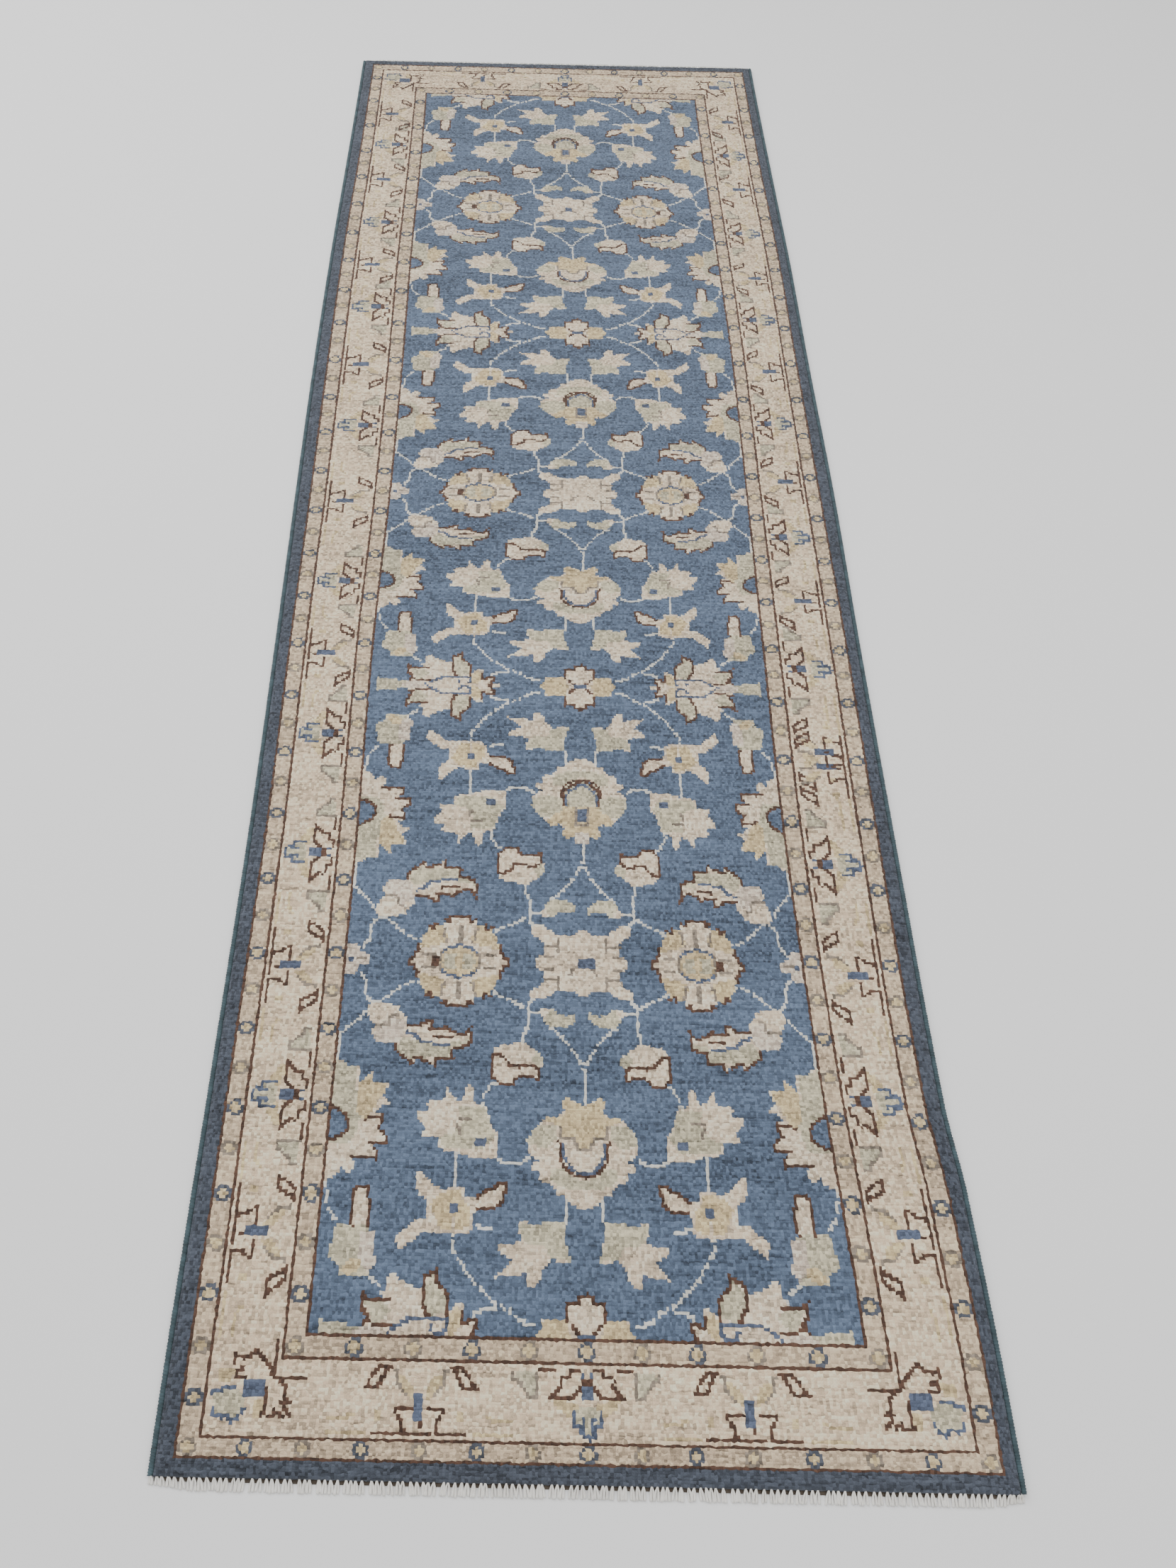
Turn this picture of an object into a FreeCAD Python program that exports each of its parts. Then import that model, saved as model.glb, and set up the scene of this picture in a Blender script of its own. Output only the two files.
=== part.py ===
import FreeCAD, Part
import os
from math import ceil

# Hand-knotted wool runner rug, millimetres. +Z is up and the rug lies on Z = 0.
# X runs across the rug, Y runs along it, and the origin is under the middle of the rug.
# The near end is at -Y. Everything drawn on the pile is counted in knots, as a weaver's
# chart is, and the two knot pitches turn the counts into millimetres.

KNOT_ACROSS = 3.0        # pitch of the knots along a row
KNOT_ALONG = 3.06        # pitch of the rows

# field, in knots
FIELD_HALF_COLUMNS = 91  # from the long axis to the field's side
HALF_REPEAT_ROWS = 126   # from a star rosette to the mirror line between two repeats
REPEATS = 3

# border stripes, in knots, from the field outwards
LINE_KNOTS = 1
INNER_GUARD_KNOTS = 6
MAIN_BORDER_KNOTS = 22
OUTER_GUARD_KNOTS = 6
OUTER_BAND_KNOTS = 6

# heights
FOUNDATION_THICKNESS = 3.0
PILE_HEIGHT = 6.0

# selvedges: a warp cord on each long side, overcast with wool
SELVEDGE_WIDTH = 6.4
SELVEDGE_HEIGHT = 6.8
SELVEDGE_ROUNDING = 2.6
CORD_DIAMETER = 3.2

# ends: a flat-woven strip, then the cut warp ends in bundles
END_WEAVE_LENGTH = 4.0
END_WEAVE_THICKNESS = 2.4
BUNDLE_PITCH = 6.0
BUNDLE_GAP = 0.5
BUNDLE_LENGTH = 10.5
BUNDLE_THICKNESS = 3.0
BUNDLE_CLEARANCE = 0.3   # the bundles lie this far above the floor

# drawn ornament, in knots
RING_MARGIN = 0.4        # from a guard ring to the sides of its stripe
RING_CORNER = 1.2
SIDE_RING_STEP = 14.7
END_RING_STEP = 17.7
SIDE_FLOWERS = 8         # palmettes along one side border, with a lily before, between and after them
END_LILY_ROW = 29        # from the field's end back to the outermost lily of a side border

# The chart that the outlines below are drawn on, in knots. Where the field or the border has
# another size, its drawing is stretched to fit.
CHART_COLUMNS = 91
CHART_ROWS = 126
CHART_BORDER = 22

FIELD_HALF_ROWS = HALF_REPEAT_ROWS * REPEATS
STRETCH_ACROSS = FIELD_HALF_COLUMNS / CHART_COLUMNS
STRETCH_ALONG = HALF_REPEAT_ROWS / CHART_ROWS
STRETCH_BORDER = MAIN_BORDER_KNOTS / CHART_BORDER
BORDER_START = LINE_KNOTS + INNER_GUARD_KNOTS + LINE_KNOTS
STRIPES = [              # node name and width of each stripe, from the field outwards
    ("field_edge_line", LINE_KNOTS),
    ("inner_guard_pile", INNER_GUARD_KNOTS),
    ("inner_border_line", LINE_KNOTS),
    ("main_border_pile", MAIN_BORDER_KNOTS),
    ("outer_border_line", LINE_KNOTS),
    ("outer_guard_pile", OUTER_GUARD_KNOTS),
    ("band_edge_line", LINE_KNOTS),
    ("outer_band_pile", OUTER_BAND_KNOTS),
]
BORDER_KNOTS = sum(width for _, width in STRIPES)
HALF_WIDTH = (FIELD_HALF_COLUMNS + BORDER_KNOTS) * KNOT_ACROSS
HALF_LENGTH = (FIELD_HALF_ROWS + BORDER_KNOTS) * KNOT_ALONG

# Outlines of the field's flowers and leaves, in knots from the middle of a star rosette:
# x to the left is negative, y grows towards the mirror line between two repeats. An
# outline that ends on a mirror line is half or a quarter of the whole flower.
MIRROR = CHART_ROWS
EDGE = -CHART_COLUMNS
ROSETTE_COLUMN = -47.3

STAR_QUARTER = [
    (-18.5, 0), (-18, 2), (-16, 2.8), (-15, 2.5), (-15, 7), (-16, 8.5), (-18, 10), (-20, 11), (-20, 13),
    (-19, 14.5), (-15, 14.5), (-14, 13.6), (-12, 12.4), (-10, 11), (-3, 11), (-2, 12.5), (0, 13.8),
]
ROUND_ROSETTE_QUARTER = [
    (18.5, 0), (18.3, 2), (15.2, 2.2), (14.8, 6), (10.5, 6.4), (12, 8.5), (13.6, 11), (12.5, 12.2),
    (6.5, 12.2), (6, 14.5), (5.5, 15.8), (3, 16.4), (0, 18),
]
SMALL_ROSETTE_QUARTER = [
    (0, MIRROR - 11.8), (-2, MIRROR - 11.4), (-2.5, MIRROR - 9.6), (-6, MIRROR - 10), (-6.3, MIRROR - 5),
    (-12, MIRROR - 5.4), (-15, MIRROR - 4.4), (-14.4, MIRROR - 3), (-16, MIRROR - 1), (-17.4, MIRROR),
]
PALMETTE_HALF = [
    (0, 54), (-2, 53.5), (-4, 52), (-6, 50.5), (-8, 52), (-8, 54), (-7, 55.6), (-8, 57.4), (-14, 58),
    (-15, 60), (-17, 61), (-16.6, 62.6), (-19, 64), (-20.6, 66), (-20, 68), (-20.4, 69.6), (-18, 72.5),
    (-16, 72.6), (-16.5, 74), (-19.6, 75), (-18.5, 77), (-16.4, 77.5), (-16, 79), (-14.6, 80.6), (-11, 82),
    (-10.4, 83.6), (-9.4, 85), (-6, 85.6), (-5.4, 87), (-3, 88.8), (0, 89),
]
LOTUS_HALF = [
    (-88, MIRROR), (-88, MIRROR - 4), (-86, MIRROR - 3), (-80, MIRROR - 3.2), (-77.5, MIRROR - 2),
    (-74, MIRROR - 2.4), (-72.6, MIRROR - 4.4), (-74, MIRROR - 7), (-75, MIRROR - 11), (-73, MIRROR - 9.6),
    (-68, MIRROR - 10), (-67.2, MIRROR - 13), (-67, MIRROR - 16), (-65, MIRROR - 17.4), (-62, MIRROR - 15),
    (-58, MIRROR - 13.6), (-55.5, MIRROR - 12.5), (-55, MIRROR - 15.6), (-52, MIRROR - 17.6),
    (-50.2, MIRROR - 18.2), (-50, MIRROR - 14.4), (-48, MIRROR - 13.6), (-46.8, MIRROR - 11),
    (-46.8, MIRROR - 7), (-44, MIRROR - 8), (-42.5, MIRROR - 9.5), (-40, MIRROR - 9.2), (-41.8, MIRROR - 7),
    (-41.4, MIRROR - 3.8), (-37, MIRROR - 4.4), (-36.7, MIRROR - 2.6), (-38, MIRROR - 0.8), (-34, MIRROR),
]
EDGE_FLOWER_HALF = [
    (EDGE + 9, 0), (EDGE + 8.6, 1.6), (EDGE + 7, 2.5), (EDGE + 5, 2.5), (EDGE + 4.6, 5), (EDGE + 3, 5.8),
    (EDGE, 5.6),
]
EDGE_PALMETTE = [
    (EDGE, 38), (-89, 39), (-86, 41), (-82.4, 41), (-82.4, 47), (-80, 46), (-77.6, 43), (-76.8, 44),
    (-76.4, 47.6), (-74, 46.6), (-71.2, 46.6), (-71, 48.6), (-73, 51.6), (-70.2, 54.6), (-73, 55.4),
    (-75.4, 58), (-72.3, 58.6), (-73, 61.5), (-74, 63.6), (-72.2, 64.3), (-70.8, 66), (-70.8, 69),
    (-75.8, 69), (-73.4, 71.6), (-73.4, 73.6), (-80, 73.2), (-82.8, 73.6), (-81, 75.4), (-81.4, 77.6),
    (-83.2, 79.6), (-85, 77), (-86.2, 78), (-86.6, 80), (-88.6, 81), (EDGE, 82),
]
EDGE_PALMETTE_EYE = [
    (EDGE, 55.6), (-88.4, 57), (-86, 58.6), (-84.8, 61), (-84.8, 64.4), (-87, 66.8), (EDGE, 67.4),
]
SMALL_LEAF = [
    (-17.5, 19), (-16, 18.4), (-11, 18.4), (-9, 20), (-7, 20.6), (-4, 20), (-2.5, 19.4), (-2.5, 22),
    (-4, 23.5), (-6, 24.5), (-10, 25), (-13, 24.5), (-14.4, 23), (-15, 21), (-16.5, 20.4),
]
TULIP = [
    (-33, 35), (-32.5, 33.5), (-31, 32.3), (-26, 31.6), (-25, 31), (-21.5, 31), (-19, 33), (-16, 35),
    (-14.5, 36.5), (-14.5, 39), (-16, 40), (-16.5, 44), (-23.5, 43.4), (-25.5, 46), (-31, 46), (-33, 43),
]
SICKLE_LEAF = [
    (-80, 17), (-74, 17), (-69, 18), (-68.5, 20), (-66, 22), (-66, 25), (-60, 25), (-57.6, 23),
    (-56.4, 23.4), (-56.4, 26), (-53, 26.4), (-50, 25.2), (-49.8, 27.6), (-44, 28), (-42.4, 26.4),
    (-41.6, 26.6), (-42, 31), (-43, 32.6), (-48, 33.2), (-48.4, 37), (-50, 37.6), (-54.5, 37), (-55, 40),
    (-57, 39), (-61, 38), (-62, 37.4), (-62.6, 39.4), (-64, 39), (-67, 37), (-69, 34.6), (-70, 32.4),
    (-76, 32.4), (-78, 30.6), (-79, 28), (-78, 26), (-79.4, 24), (-80.6, 22), (-81, 19),
]
FAN_LEAF = [
    (-49.4, 48), (-50, 50), (-51, 53.5), (-56, 53), (-56.6, 54.6), (-55, 56.4), (-60, 57), (-60, 60),
    (-58, 61), (-56.6, 63), (-58, 64.6), (-57.4, 66.4), (-52.4, 66.2), (-52.4, 70), (-50, 70.5),
    (-45, 71), (-43.5, 72), (-39, 73), (-31.5, 72.6), (-31, 64), (-32.6, 63), (-34.5, 58), (-36, 54),
    (-39.8, 53.4), (-40.4, 51), (-40, 48), (-41.2, 47.2), (-43, 49), (-44, 53), (-47, 52),
]
CROSS_FLOWER = [
    (-59, 77.4), (-57.8, 78), (-55, 80.8), (-52, 83), (-50, 83.8), (-46, 83), (-42.4, 83), (-42, 85.6),
    (-38, 86.2), (-35, 84.2), (-31, 83.2), (-30, 82), (-28, 82), (-28.4, 86), (-30, 88.4), (-33, 89.2),
    (-37, 89.4), (-39, 92), (-39, 95), (-40.6, 96.6), (-44.6, 97), (-48, 97.2), (-56, 96.8),
    (-57.4, 98.4), (-60, 100), (-64.2, 103), (-64.6, 98.4), (-64, 97), (-60, 94.6), (-58, 93),
    (-55, 92.6), (-54.8, 87.4), (-58, 85.4), (-59, 82),
]
LEAF_PAIR = [
    (-22.5, 93.2), (-17, 93.8), (-13, 93), (-7.4, 93), (-6.6, 98), (-6.4, 101), (-5, 103.6), (-5.2, 105),
    (-8, 105), (-12, 104), (-13, 105.6), (-15, 108), (-15, 110), (-17, 111.6), (-19.4, 112), (-20, 110),
    (-22, 109), (-28, 109), (-31, 110), (-29, 108), (-25, 104.6), (-30, 102), (-30.4, 100), (-25, 99.6),
    (-21.8, 99), (-23, 95),
]
VASE_FLOWER = [
    (-85, 95), (-80, 94.8), (-80, 90), (-80.6, 85), (-78.4, 83.4), (-75.2, 83.4), (-74.6, 88),
    (-74.2, 91), (-75, 95), (-74, 96.4), (-72, 97), (-72, 101), (-71.2, 106.4), (-73.4, 109),
    (-73.6, 110.4), (-83.5, 110.4), (-83.3, 107), (-87.5, 105), (-87.4, 103), (-86.2, 100), (-86, 97.4),
]

# flower hearts knotted in blue: left, right, first row and last row of each block
STAR_HEART = (-2, 2, -2, 2)
SMALL_ROSETTE_HEART = (-3.2, 3.2, MIRROR - 1.4, MIRROR + 1.4)
CROSS_FLOWER_HEART = (-47.2, -43.8, 88.2, 91.2)
FAN_LEAF_HEART = (-38.6, -35.4, 66, 69)

# border ornament: depth outwards from the main border's inner side, and distance along it
LILY_STEM = [(8.3, 0), (9.3, -1.3), (16.3, -1.3), (17.3, 0), (16.3, 1.3), (9.3, 1.3)]
LILY_PETAL = [(2.9, 6.5), (5.4, 6.8), (7.9, 4), (7.4, 1.6), (3.9, 2)]
PALMETTE_HEART = [(4.1, -1.6), (9.3, -1.5), (10.5, 0), (9.3, 1.5), (4.1, 1.6)]
PALMETTE_PETAL = [(9.5, 2.2), (12.9, 4), (13.9, 9), (11.9, 12), (10.1, 8)]
END_LILY_COLUMN = 54     # from the long axis to a lily of the end border

# the same in a corner, where both numbers are depths from the main border's inner corner
CORNER_ROSETTE = [
    (19.9, 11.9), (15.9, 9.9), (12.3, 12.5), (9.9, 14.3), (11.9, 17.3), (13.9, 18.9), (16.9, 16.9),
    (19.9, 15.9),
]
CORNER_SQUARE = [(5.5, 7.7), (11.3, 7.7), (11.3, 11.9), (5.5, 11.9)]


# ---- drawing on the chart --------------------------------------------------------------
def flat(points):
    """A face in the plane Z = 0 from an outline in knots."""
    corners = [FreeCAD.Vector(x * KNOT_ACROSS, y * KNOT_ALONG, 0) for x, y in points]
    return Part.Face(Part.makePolygon(corners + corners[:1]))


def block(left, right, first, last):
    return [(left, first), (right, first), (right, last), (left, last)]


def across(points, column=0):
    """An outline that ends on a vertical mirror line, completed by its mirror image."""
    other = [(2 * column - x, y) for x, y in reversed(points)]
    return joined(points, other)


def along(points, row=0):
    """An outline that ends on a horizontal mirror line, completed by its mirror image."""
    other = [(x, 2 * row - y) for x, y in reversed(points)]
    return joined(points, other)


def joined(points, other):
    whole = list(points)
    for point in other:
        if point != whole[-1] and point != whole[0]:
            whole.append(point)
    return whole


def shifted(points, columns):
    return [(x + columns, y) for x, y in points]


def field_face():
    return flat(block(-FIELD_HALF_COLUMNS, FIELD_HALF_COLUMNS, -FIELD_HALF_ROWS, FIELD_HALF_ROWS))


def copy(outline, side, way, chart_row, row):
    """The outline stretched to the field, mirrored, and with its chart_row laid on a row of the field."""
    return flat([(side * x * STRETCH_ACROSS, row + way * (y - chart_row) * STRETCH_ALONG)
                 for x, y in outline])


def star_rows():
    return [(2 * repeat + 1 - REPEATS) * HALF_REPEAT_ROWS for repeat in range(REPEATS)]


def mirror_rows():
    return [(2 * line - REPEATS) * HALF_REPEAT_ROWS for line in range(REPEATS + 1)]


def scattered(outline, sides=(1, -1)):
    """Copies of an outline in every repeat: on the given sides, and both ways along."""
    return [copy(outline, side, way, 0, row) for row in star_rows() for way in (1, -1) for side in sides]


def on_stars(outline, sides=(1, -1)):
    """Copies of an outline that is centred on the star rosettes' row."""
    return [copy(outline, side, 1, 0, row) for row in star_rows() for side in sides]


def on_mirrors(outline, sides=(1, -1)):
    """Copies of an outline centred on each mirror line, cut in half at the field's ends."""
    whole = [copy(outline, side, 1, MIRROR, row) for row in mirror_rows() for side in sides]
    return [face.common(field_face()) for face in whole]


def border_copies(outline, rows, columns, ways=(1,)):
    """Copies at these rows of both side borders and these columns of both end borders."""
    inner_column, inner_row = FIELD_HALF_COLUMNS + BORDER_START, FIELD_HALF_ROWS + BORDER_START
    on_sides = [flat([(side * (inner_column + d * STRETCH_BORDER), row + way * s) for d, s in outline])
                for side in (1, -1) for row in rows for way in ways]
    on_ends = [flat([(column + way * s, end * (inner_row + d * STRETCH_BORDER)) for d, s in outline])
               for end in (1, -1) for column in columns for way in ways]
    return on_sides + on_ends


def corners(outline):
    inner_column, inner_row = FIELD_HALF_COLUMNS + BORDER_START, FIELD_HALF_ROWS + BORDER_START
    return [flat([(a * (inner_column + d * STRETCH_BORDER), b * (inner_row + s * STRETCH_BORDER))
                  for d, s in outline]) for a in (1, -1) for b in (1, -1)]


def guard_rings(depth, width):
    """Octagons spaced evenly round a guard stripe of this width whose middle is at this depth."""
    half, corner = width / 2 - RING_MARGIN, RING_CORNER
    octagon = [(half, corner), (corner, half), (-corner, half), (-half, corner),
               (-half, -corner), (-corner, -half), (corner, -half), (half, -corner)]
    x, y = FIELD_HALF_COLUMNS + depth, FIELD_HALF_ROWS + depth
    rows, columns = 2 * round(y / SIDE_RING_STEP), 2 * round(x / END_RING_STEP)
    middles = [(a * x, -y + 2 * y * k / rows) for k in range(rows + 1) for a in (1, -1)]
    middles += [(-x + 2 * x * k / columns, b * y) for k in range(1, columns) for b in (1, -1)]
    return [flat([(cx + dx, cy + dy) for dx, dy in octagon]) for cx, cy in middles]


def stripe(inner, outer):
    """Four bars round the field, from one depth to another: two full-length sides, two ends."""
    x0, x1 = FIELD_HALF_COLUMNS + inner, FIELD_HALF_COLUMNS + outer
    y0, y1 = FIELD_HALF_ROWS + inner, FIELD_HALF_ROWS + outer
    return [flat(block(*bar)) for bar in
            [(-x1, -x0, -y1, y1), (x0, x1, -y1, y1), (-x0, x0, -y1, -y0), (-x0, x0, y0, y1)]]


# ---- building solids --------------------------------------------------------------------
parts = {}


def pile(name, faces, holes=()):
    """Pile of one kind: faces less what other yarn fills, raised off the foundation."""
    if holes:
        cutter = Part.makeCompound(list(holes))
        faces = [piece for face in faces for piece in face.cut(cutter).Faces]
    else:
        faces = [piece for face in faces for piece in face.Faces]
    solids = []
    for face in faces:
        face.translate(FreeCAD.Vector(0, 0, FOUNDATION_THICKNESS))
        solids.append(face.extrude(FreeCAD.Vector(0, 0, PILE_HEIGHT)))
    parts[name] = Part.makeCompound(solids) if len(solids) > 1 else solids[0]


def build_field():
    hearts = (on_stars(block(*STAR_HEART), sides=(1,))
              + on_mirrors(block(*SMALL_ROSETTE_HEART), sides=(1,))
              + scattered(block(*CROSS_FLOWER_HEART)) + scattered(block(*FAN_LEAF_HEART)))
    eyes = scattered(EDGE_PALMETTE_EYE)
    flowers = {
        "star_rosettes": on_stars(along(across(STAR_QUARTER)), sides=(1,)),
        "round_rosettes": on_stars(shifted(along(across(ROUND_ROSETTE_QUARTER)), ROSETTE_COLUMN)),
        "edge_flowers": on_stars(along(EDGE_FLOWER_HALF)),
        "small_rosettes": on_mirrors(across(along(SMALL_ROSETTE_QUARTER, MIRROR)), sides=(1,)),
        "lotus_flowers": on_mirrors(along(LOTUS_HALF, MIRROR)),
        "palmettes": scattered(across(PALMETTE_HALF), sides=(1,)),
        "edge_palmettes": scattered(EDGE_PALMETTE),
        "small_leaves": scattered(SMALL_LEAF),
        "tulips": scattered(TULIP),
        "sickle_leaves": scattered(SICKLE_LEAF),
        "fan_leaves": scattered(FAN_LEAF),
        "cross_flowers": scattered(CROSS_FLOWER),
        "leaf_pairs": scattered(LEAF_PAIR),
        "vase_flowers": scattered(VASE_FLOWER),
    }
    everything = [face for faces in flowers.values() for face in faces]
    pile("field_pile", [field_face()], everything)
    hearted = {"star_rosettes": hearts, "small_rosettes": hearts, "cross_flowers": hearts,
               "fan_leaves": hearts, "edge_palmettes": eyes}
    for name, faces in flowers.items():
        pile(name, faces, hearted.get(name, ()))
    pile("flower_hearts", hearts)
    pile("edge_palmette_eyes", eyes)


def build_border():
    half_step = (FIELD_HALF_ROWS - END_LILY_ROW) / SIDE_FLOWERS
    palmette_rows = [half_step * (2 * k + 1 - SIDE_FLOWERS) for k in range(SIDE_FLOWERS)]
    lily_rows = [half_step * (2 * k - SIDE_FLOWERS) for k in range(SIDE_FLOWERS + 1)]
    lily_columns = [-END_LILY_COLUMN * STRETCH_ACROSS, END_LILY_COLUMN * STRETCH_ACROSS]
    both = (1, -1)
    ornament = {
        "border_lily_stems": border_copies(LILY_STEM, lily_rows, lily_columns),
        "border_lily_petals": border_copies(LILY_PETAL, lily_rows, lily_columns, both),
        "border_palmette_hearts": border_copies(PALMETTE_HEART, palmette_rows, [0]),
        "border_palmette_petals": border_copies(PALMETTE_PETAL, palmette_rows, [0], both),
        "corner_rosettes": corners(CORNER_ROSETTE),
        "corner_squares": corners(CORNER_SQUARE),
    }
    rings = {"inner_guard_pile": "inner_guard_rings", "outer_guard_pile": "outer_guard_rings"}
    depth = 0
    for name, width in STRIPES:
        holes = []
        if name == "main_border_pile":
            holes = [face for faces in ornament.values() for face in faces]
        elif name in rings:
            holes = guard_rings(depth + width / 2, width)
            pile(rings[name], guard_rings(depth + width / 2, width))
        pile(name, stripe(depth, depth + width), holes)
        depth += width
    for name, faces in ornament.items():
        pile(name, faces)


def build_foundation():
    parts["foundation_weave"] = Part.makeBox(
        2 * HALF_WIDTH, 2 * HALF_LENGTH, FOUNDATION_THICKNESS, FreeCAD.Vector(-HALF_WIDTH, -HALF_LENGTH, 0))


def build_selvedge(side, name):
    """A warp cord inside a wool overcast whose inner face lies against the foundation and pile."""
    half = HALF_LENGTH
    low = HALF_WIDTH if side > 0 else -HALF_WIDTH - SELVEDGE_WIDTH
    wrap = Part.makeBox(SELVEDGE_WIDTH, 2 * half, SELVEDGE_HEIGHT, FreeCAD.Vector(low, -half, 0))
    long_edges = [edge for edge in wrap.Edges if edge.Length > half]
    outer_edges = [edge for edge in long_edges if abs(edge.CenterOfMass.x) > HALF_WIDTH + SELVEDGE_WIDTH / 2]
    wrap = wrap.makeFillet(SELVEDGE_ROUNDING, outer_edges)
    middle = FreeCAD.Vector(side * (HALF_WIDTH + SELVEDGE_WIDTH / 2), -half, SELVEDGE_HEIGHT / 2)
    cord = Part.makeCylinder(CORD_DIAMETER / 2, 2 * half, middle, FreeCAD.Vector(0, 1, 0))
    parts["selvedge_wrap_" + name] = wrap.cut(cord)
    parts["selvedge_cord_" + name] = cord


def build_end(end, name):
    """The flat-woven strip at one end, and the warp bundles that hang out of it."""
    inner, outer = HALF_LENGTH, HALF_LENGTH + END_WEAVE_LENGTH
    low = inner if end > 0 else -outer
    parts["end_weave_" + name] = Part.makeBox(
        2 * HALF_WIDTH, END_WEAVE_LENGTH, END_WEAVE_THICKNESS, FreeCAD.Vector(-HALF_WIDTH, low, 0))
    count = ceil(2 * HALF_WIDTH / BUNDLE_PITCH)
    pitch = 2 * HALF_WIDTH / count
    radius = (pitch - BUNDLE_GAP) / 2
    tip = BUNDLE_LENGTH - radius
    bundles = []
    for k in range(count):
        x = -HALF_WIDTH + (k + 0.5) * pitch
        root_left, root_right, left, right, far = [
            FreeCAD.Vector(x + dx, end * (outer + dy), BUNDLE_CLEARANCE)
            for dx, dy in [(-radius, 0), (radius, 0), (-radius, tip), (radius, tip), (0, BUNDLE_LENGTH)]]
        outline = Part.Wire([
            Part.LineSegment(root_left, left).toShape(), Part.Arc(left, far, right).toShape(),
            Part.LineSegment(right, root_right).toShape(), Part.LineSegment(root_right, root_left).toShape()])
        bundles.append(Part.Face(outline).extrude(FreeCAD.Vector(0, 0, BUNDLE_THICKNESS)))
    parts["fringe_" + name] = Part.makeCompound(bundles)


build_foundation()
build_selvedge(-1, "left")
build_selvedge(1, "right")
build_end(-1, "near")
build_end(1, "far")
build_border()
build_field()

os.makedirs("parts", exist_ok=True)
for name, shape in parts.items():
    shape.exportStep("parts/" + name + ".step")
    print(name, len(shape.Solids), "solids", round(shape.Volume / 1000, 1), "cm3", shape.isValid())
print("rug", 2 * HALF_WIDTH, "x", 2 * HALF_LENGTH, "mm;", len(parts), "nodes")
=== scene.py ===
import math
import bpy
import numpy as np
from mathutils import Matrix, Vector


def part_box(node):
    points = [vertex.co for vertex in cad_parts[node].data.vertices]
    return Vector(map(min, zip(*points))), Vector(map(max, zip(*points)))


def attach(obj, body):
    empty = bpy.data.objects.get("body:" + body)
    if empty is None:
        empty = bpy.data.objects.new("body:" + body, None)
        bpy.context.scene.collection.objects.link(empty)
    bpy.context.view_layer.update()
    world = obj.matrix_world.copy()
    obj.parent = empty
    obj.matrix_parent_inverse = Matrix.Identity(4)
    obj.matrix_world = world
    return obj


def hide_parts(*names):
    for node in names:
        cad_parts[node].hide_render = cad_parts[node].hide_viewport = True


# A hand-knotted runner rug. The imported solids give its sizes. This script draws the knot
# chart, lays one patch of pile a knot, and adds the cloth, the selvedges and the ends.
# Metres, +Z up, the near end at -Y. On the chart columns run to the right and rows run
# towards the near end, both counted in knots from the middle of the rug.

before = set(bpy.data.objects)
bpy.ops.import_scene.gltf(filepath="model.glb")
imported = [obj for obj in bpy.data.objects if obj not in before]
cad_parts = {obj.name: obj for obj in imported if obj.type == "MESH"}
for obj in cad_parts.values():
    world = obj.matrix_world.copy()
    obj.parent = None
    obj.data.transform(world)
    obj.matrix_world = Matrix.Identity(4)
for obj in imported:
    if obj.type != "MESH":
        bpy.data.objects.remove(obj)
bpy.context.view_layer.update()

chance = np.random.default_rng(11)

# ---- sizes, from the frame ----------------------------------------------------------------
FIELD_COLUMNS = 91       # knots from the long axis to the field's side
REPEAT_ROWS = 126        # rows from a star rosette to the next mirror line
REPEATS = 3
LINE, GUARD, MAIN, BAND = 1, 6, 22, 6
FIELD_ROWS = REPEAT_ROWS * REPEATS
BORDER = 4 * LINE + 2 * GUARD + MAIN + BAND
COLUMNS = FIELD_COLUMNS + BORDER
ROWS = FIELD_ROWS + BORDER

cloth_low, cloth_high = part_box("foundation_weave")
pile_low, pile_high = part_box("outer_band_pile")
wrap_low, wrap_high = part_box("selvedge_wrap_right")
fringe_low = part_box("fringe_near")[0]

KNOT = pile_high.x / COLUMNS
ROW = pile_high.y / ROWS
PILE_TOP = pile_high.z
CLOTH_TOP = cloth_high.z
END_LENGTH = pile_low.y - fringe_low.y
SELVEDGE = wrap_high.x - wrap_low.x
SELVEDGE_TOP = wrap_high.z

# ---- how far the hand-made rug strays from the chart, millimetres --------------------------
MILLIMETRES = 1000       # in a metre
# across the rug, at even stations from the far end to the near end, for each of these columns
STRAY_COLUMNS = [-COLUMNS, -FIELD_COLUMNS - 37.5, -FIELD_COLUMNS - 0.5, -45, 0, 45,
                 FIELD_COLUMNS + 0.5, FIELD_COLUMNS + 37.5, COLUMNS]
STRAY_FROM, STRAY_TO = 1.24, -1.18
STRAY = [
    [-1, -3, -6, -6, -3, 1, 4, 3, 1],
    [-3, -5, -9, -8, -5, -3, 1, 0, -1],
    [0, 2, 1, 4, 4, 0, 3, 3, 1],
    [3, 5, 6, 12, 6, 2, 5, 4, 4],
    [9, 7, 15, 23, 24, 14, 11, 7, 4],
    [5, 5, 14, 15, 17, 5, 3, 2, -1],
    [0, 1, 4, 6, 1, -4, -8, -3, 9],
    [-3, -1, 4, 3, 3, 3, 0, -1, 9],
    [-8, -5, -1, -1, 1, -2, -3, -3, 3],
]
KINK = 5.0               # a step outwards near the right side's near end
KINK_FROM, KINK_TO = -0.92, -1.02
# along the rug, and how far the right side of a row lies behind its left side
ROW_STATIONS = [-ROWS, *range(-FIELD_ROWS, FIELD_ROWS + 1, REPEAT_ROWS // 3), ROWS - 14, ROWS]
ROW_STRAY = [7, 11, 3, 1, -1, 6, 22, 23, 14, 20, 20, 24, 35, 35, 28, 22, 9, 4, 2, -12, -12, -4]
ROW_SLANT = [0, -8, -17, -25, -28, -18, -6, 0, 6, 0, -13, -12, -11, -14, -18, -22, -24, -27, -28, -30,
             -30, -31]


def smooth(t):
    t = np.clip(t, 0, 1)
    return t * t * (3 - 2 * t)


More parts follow.
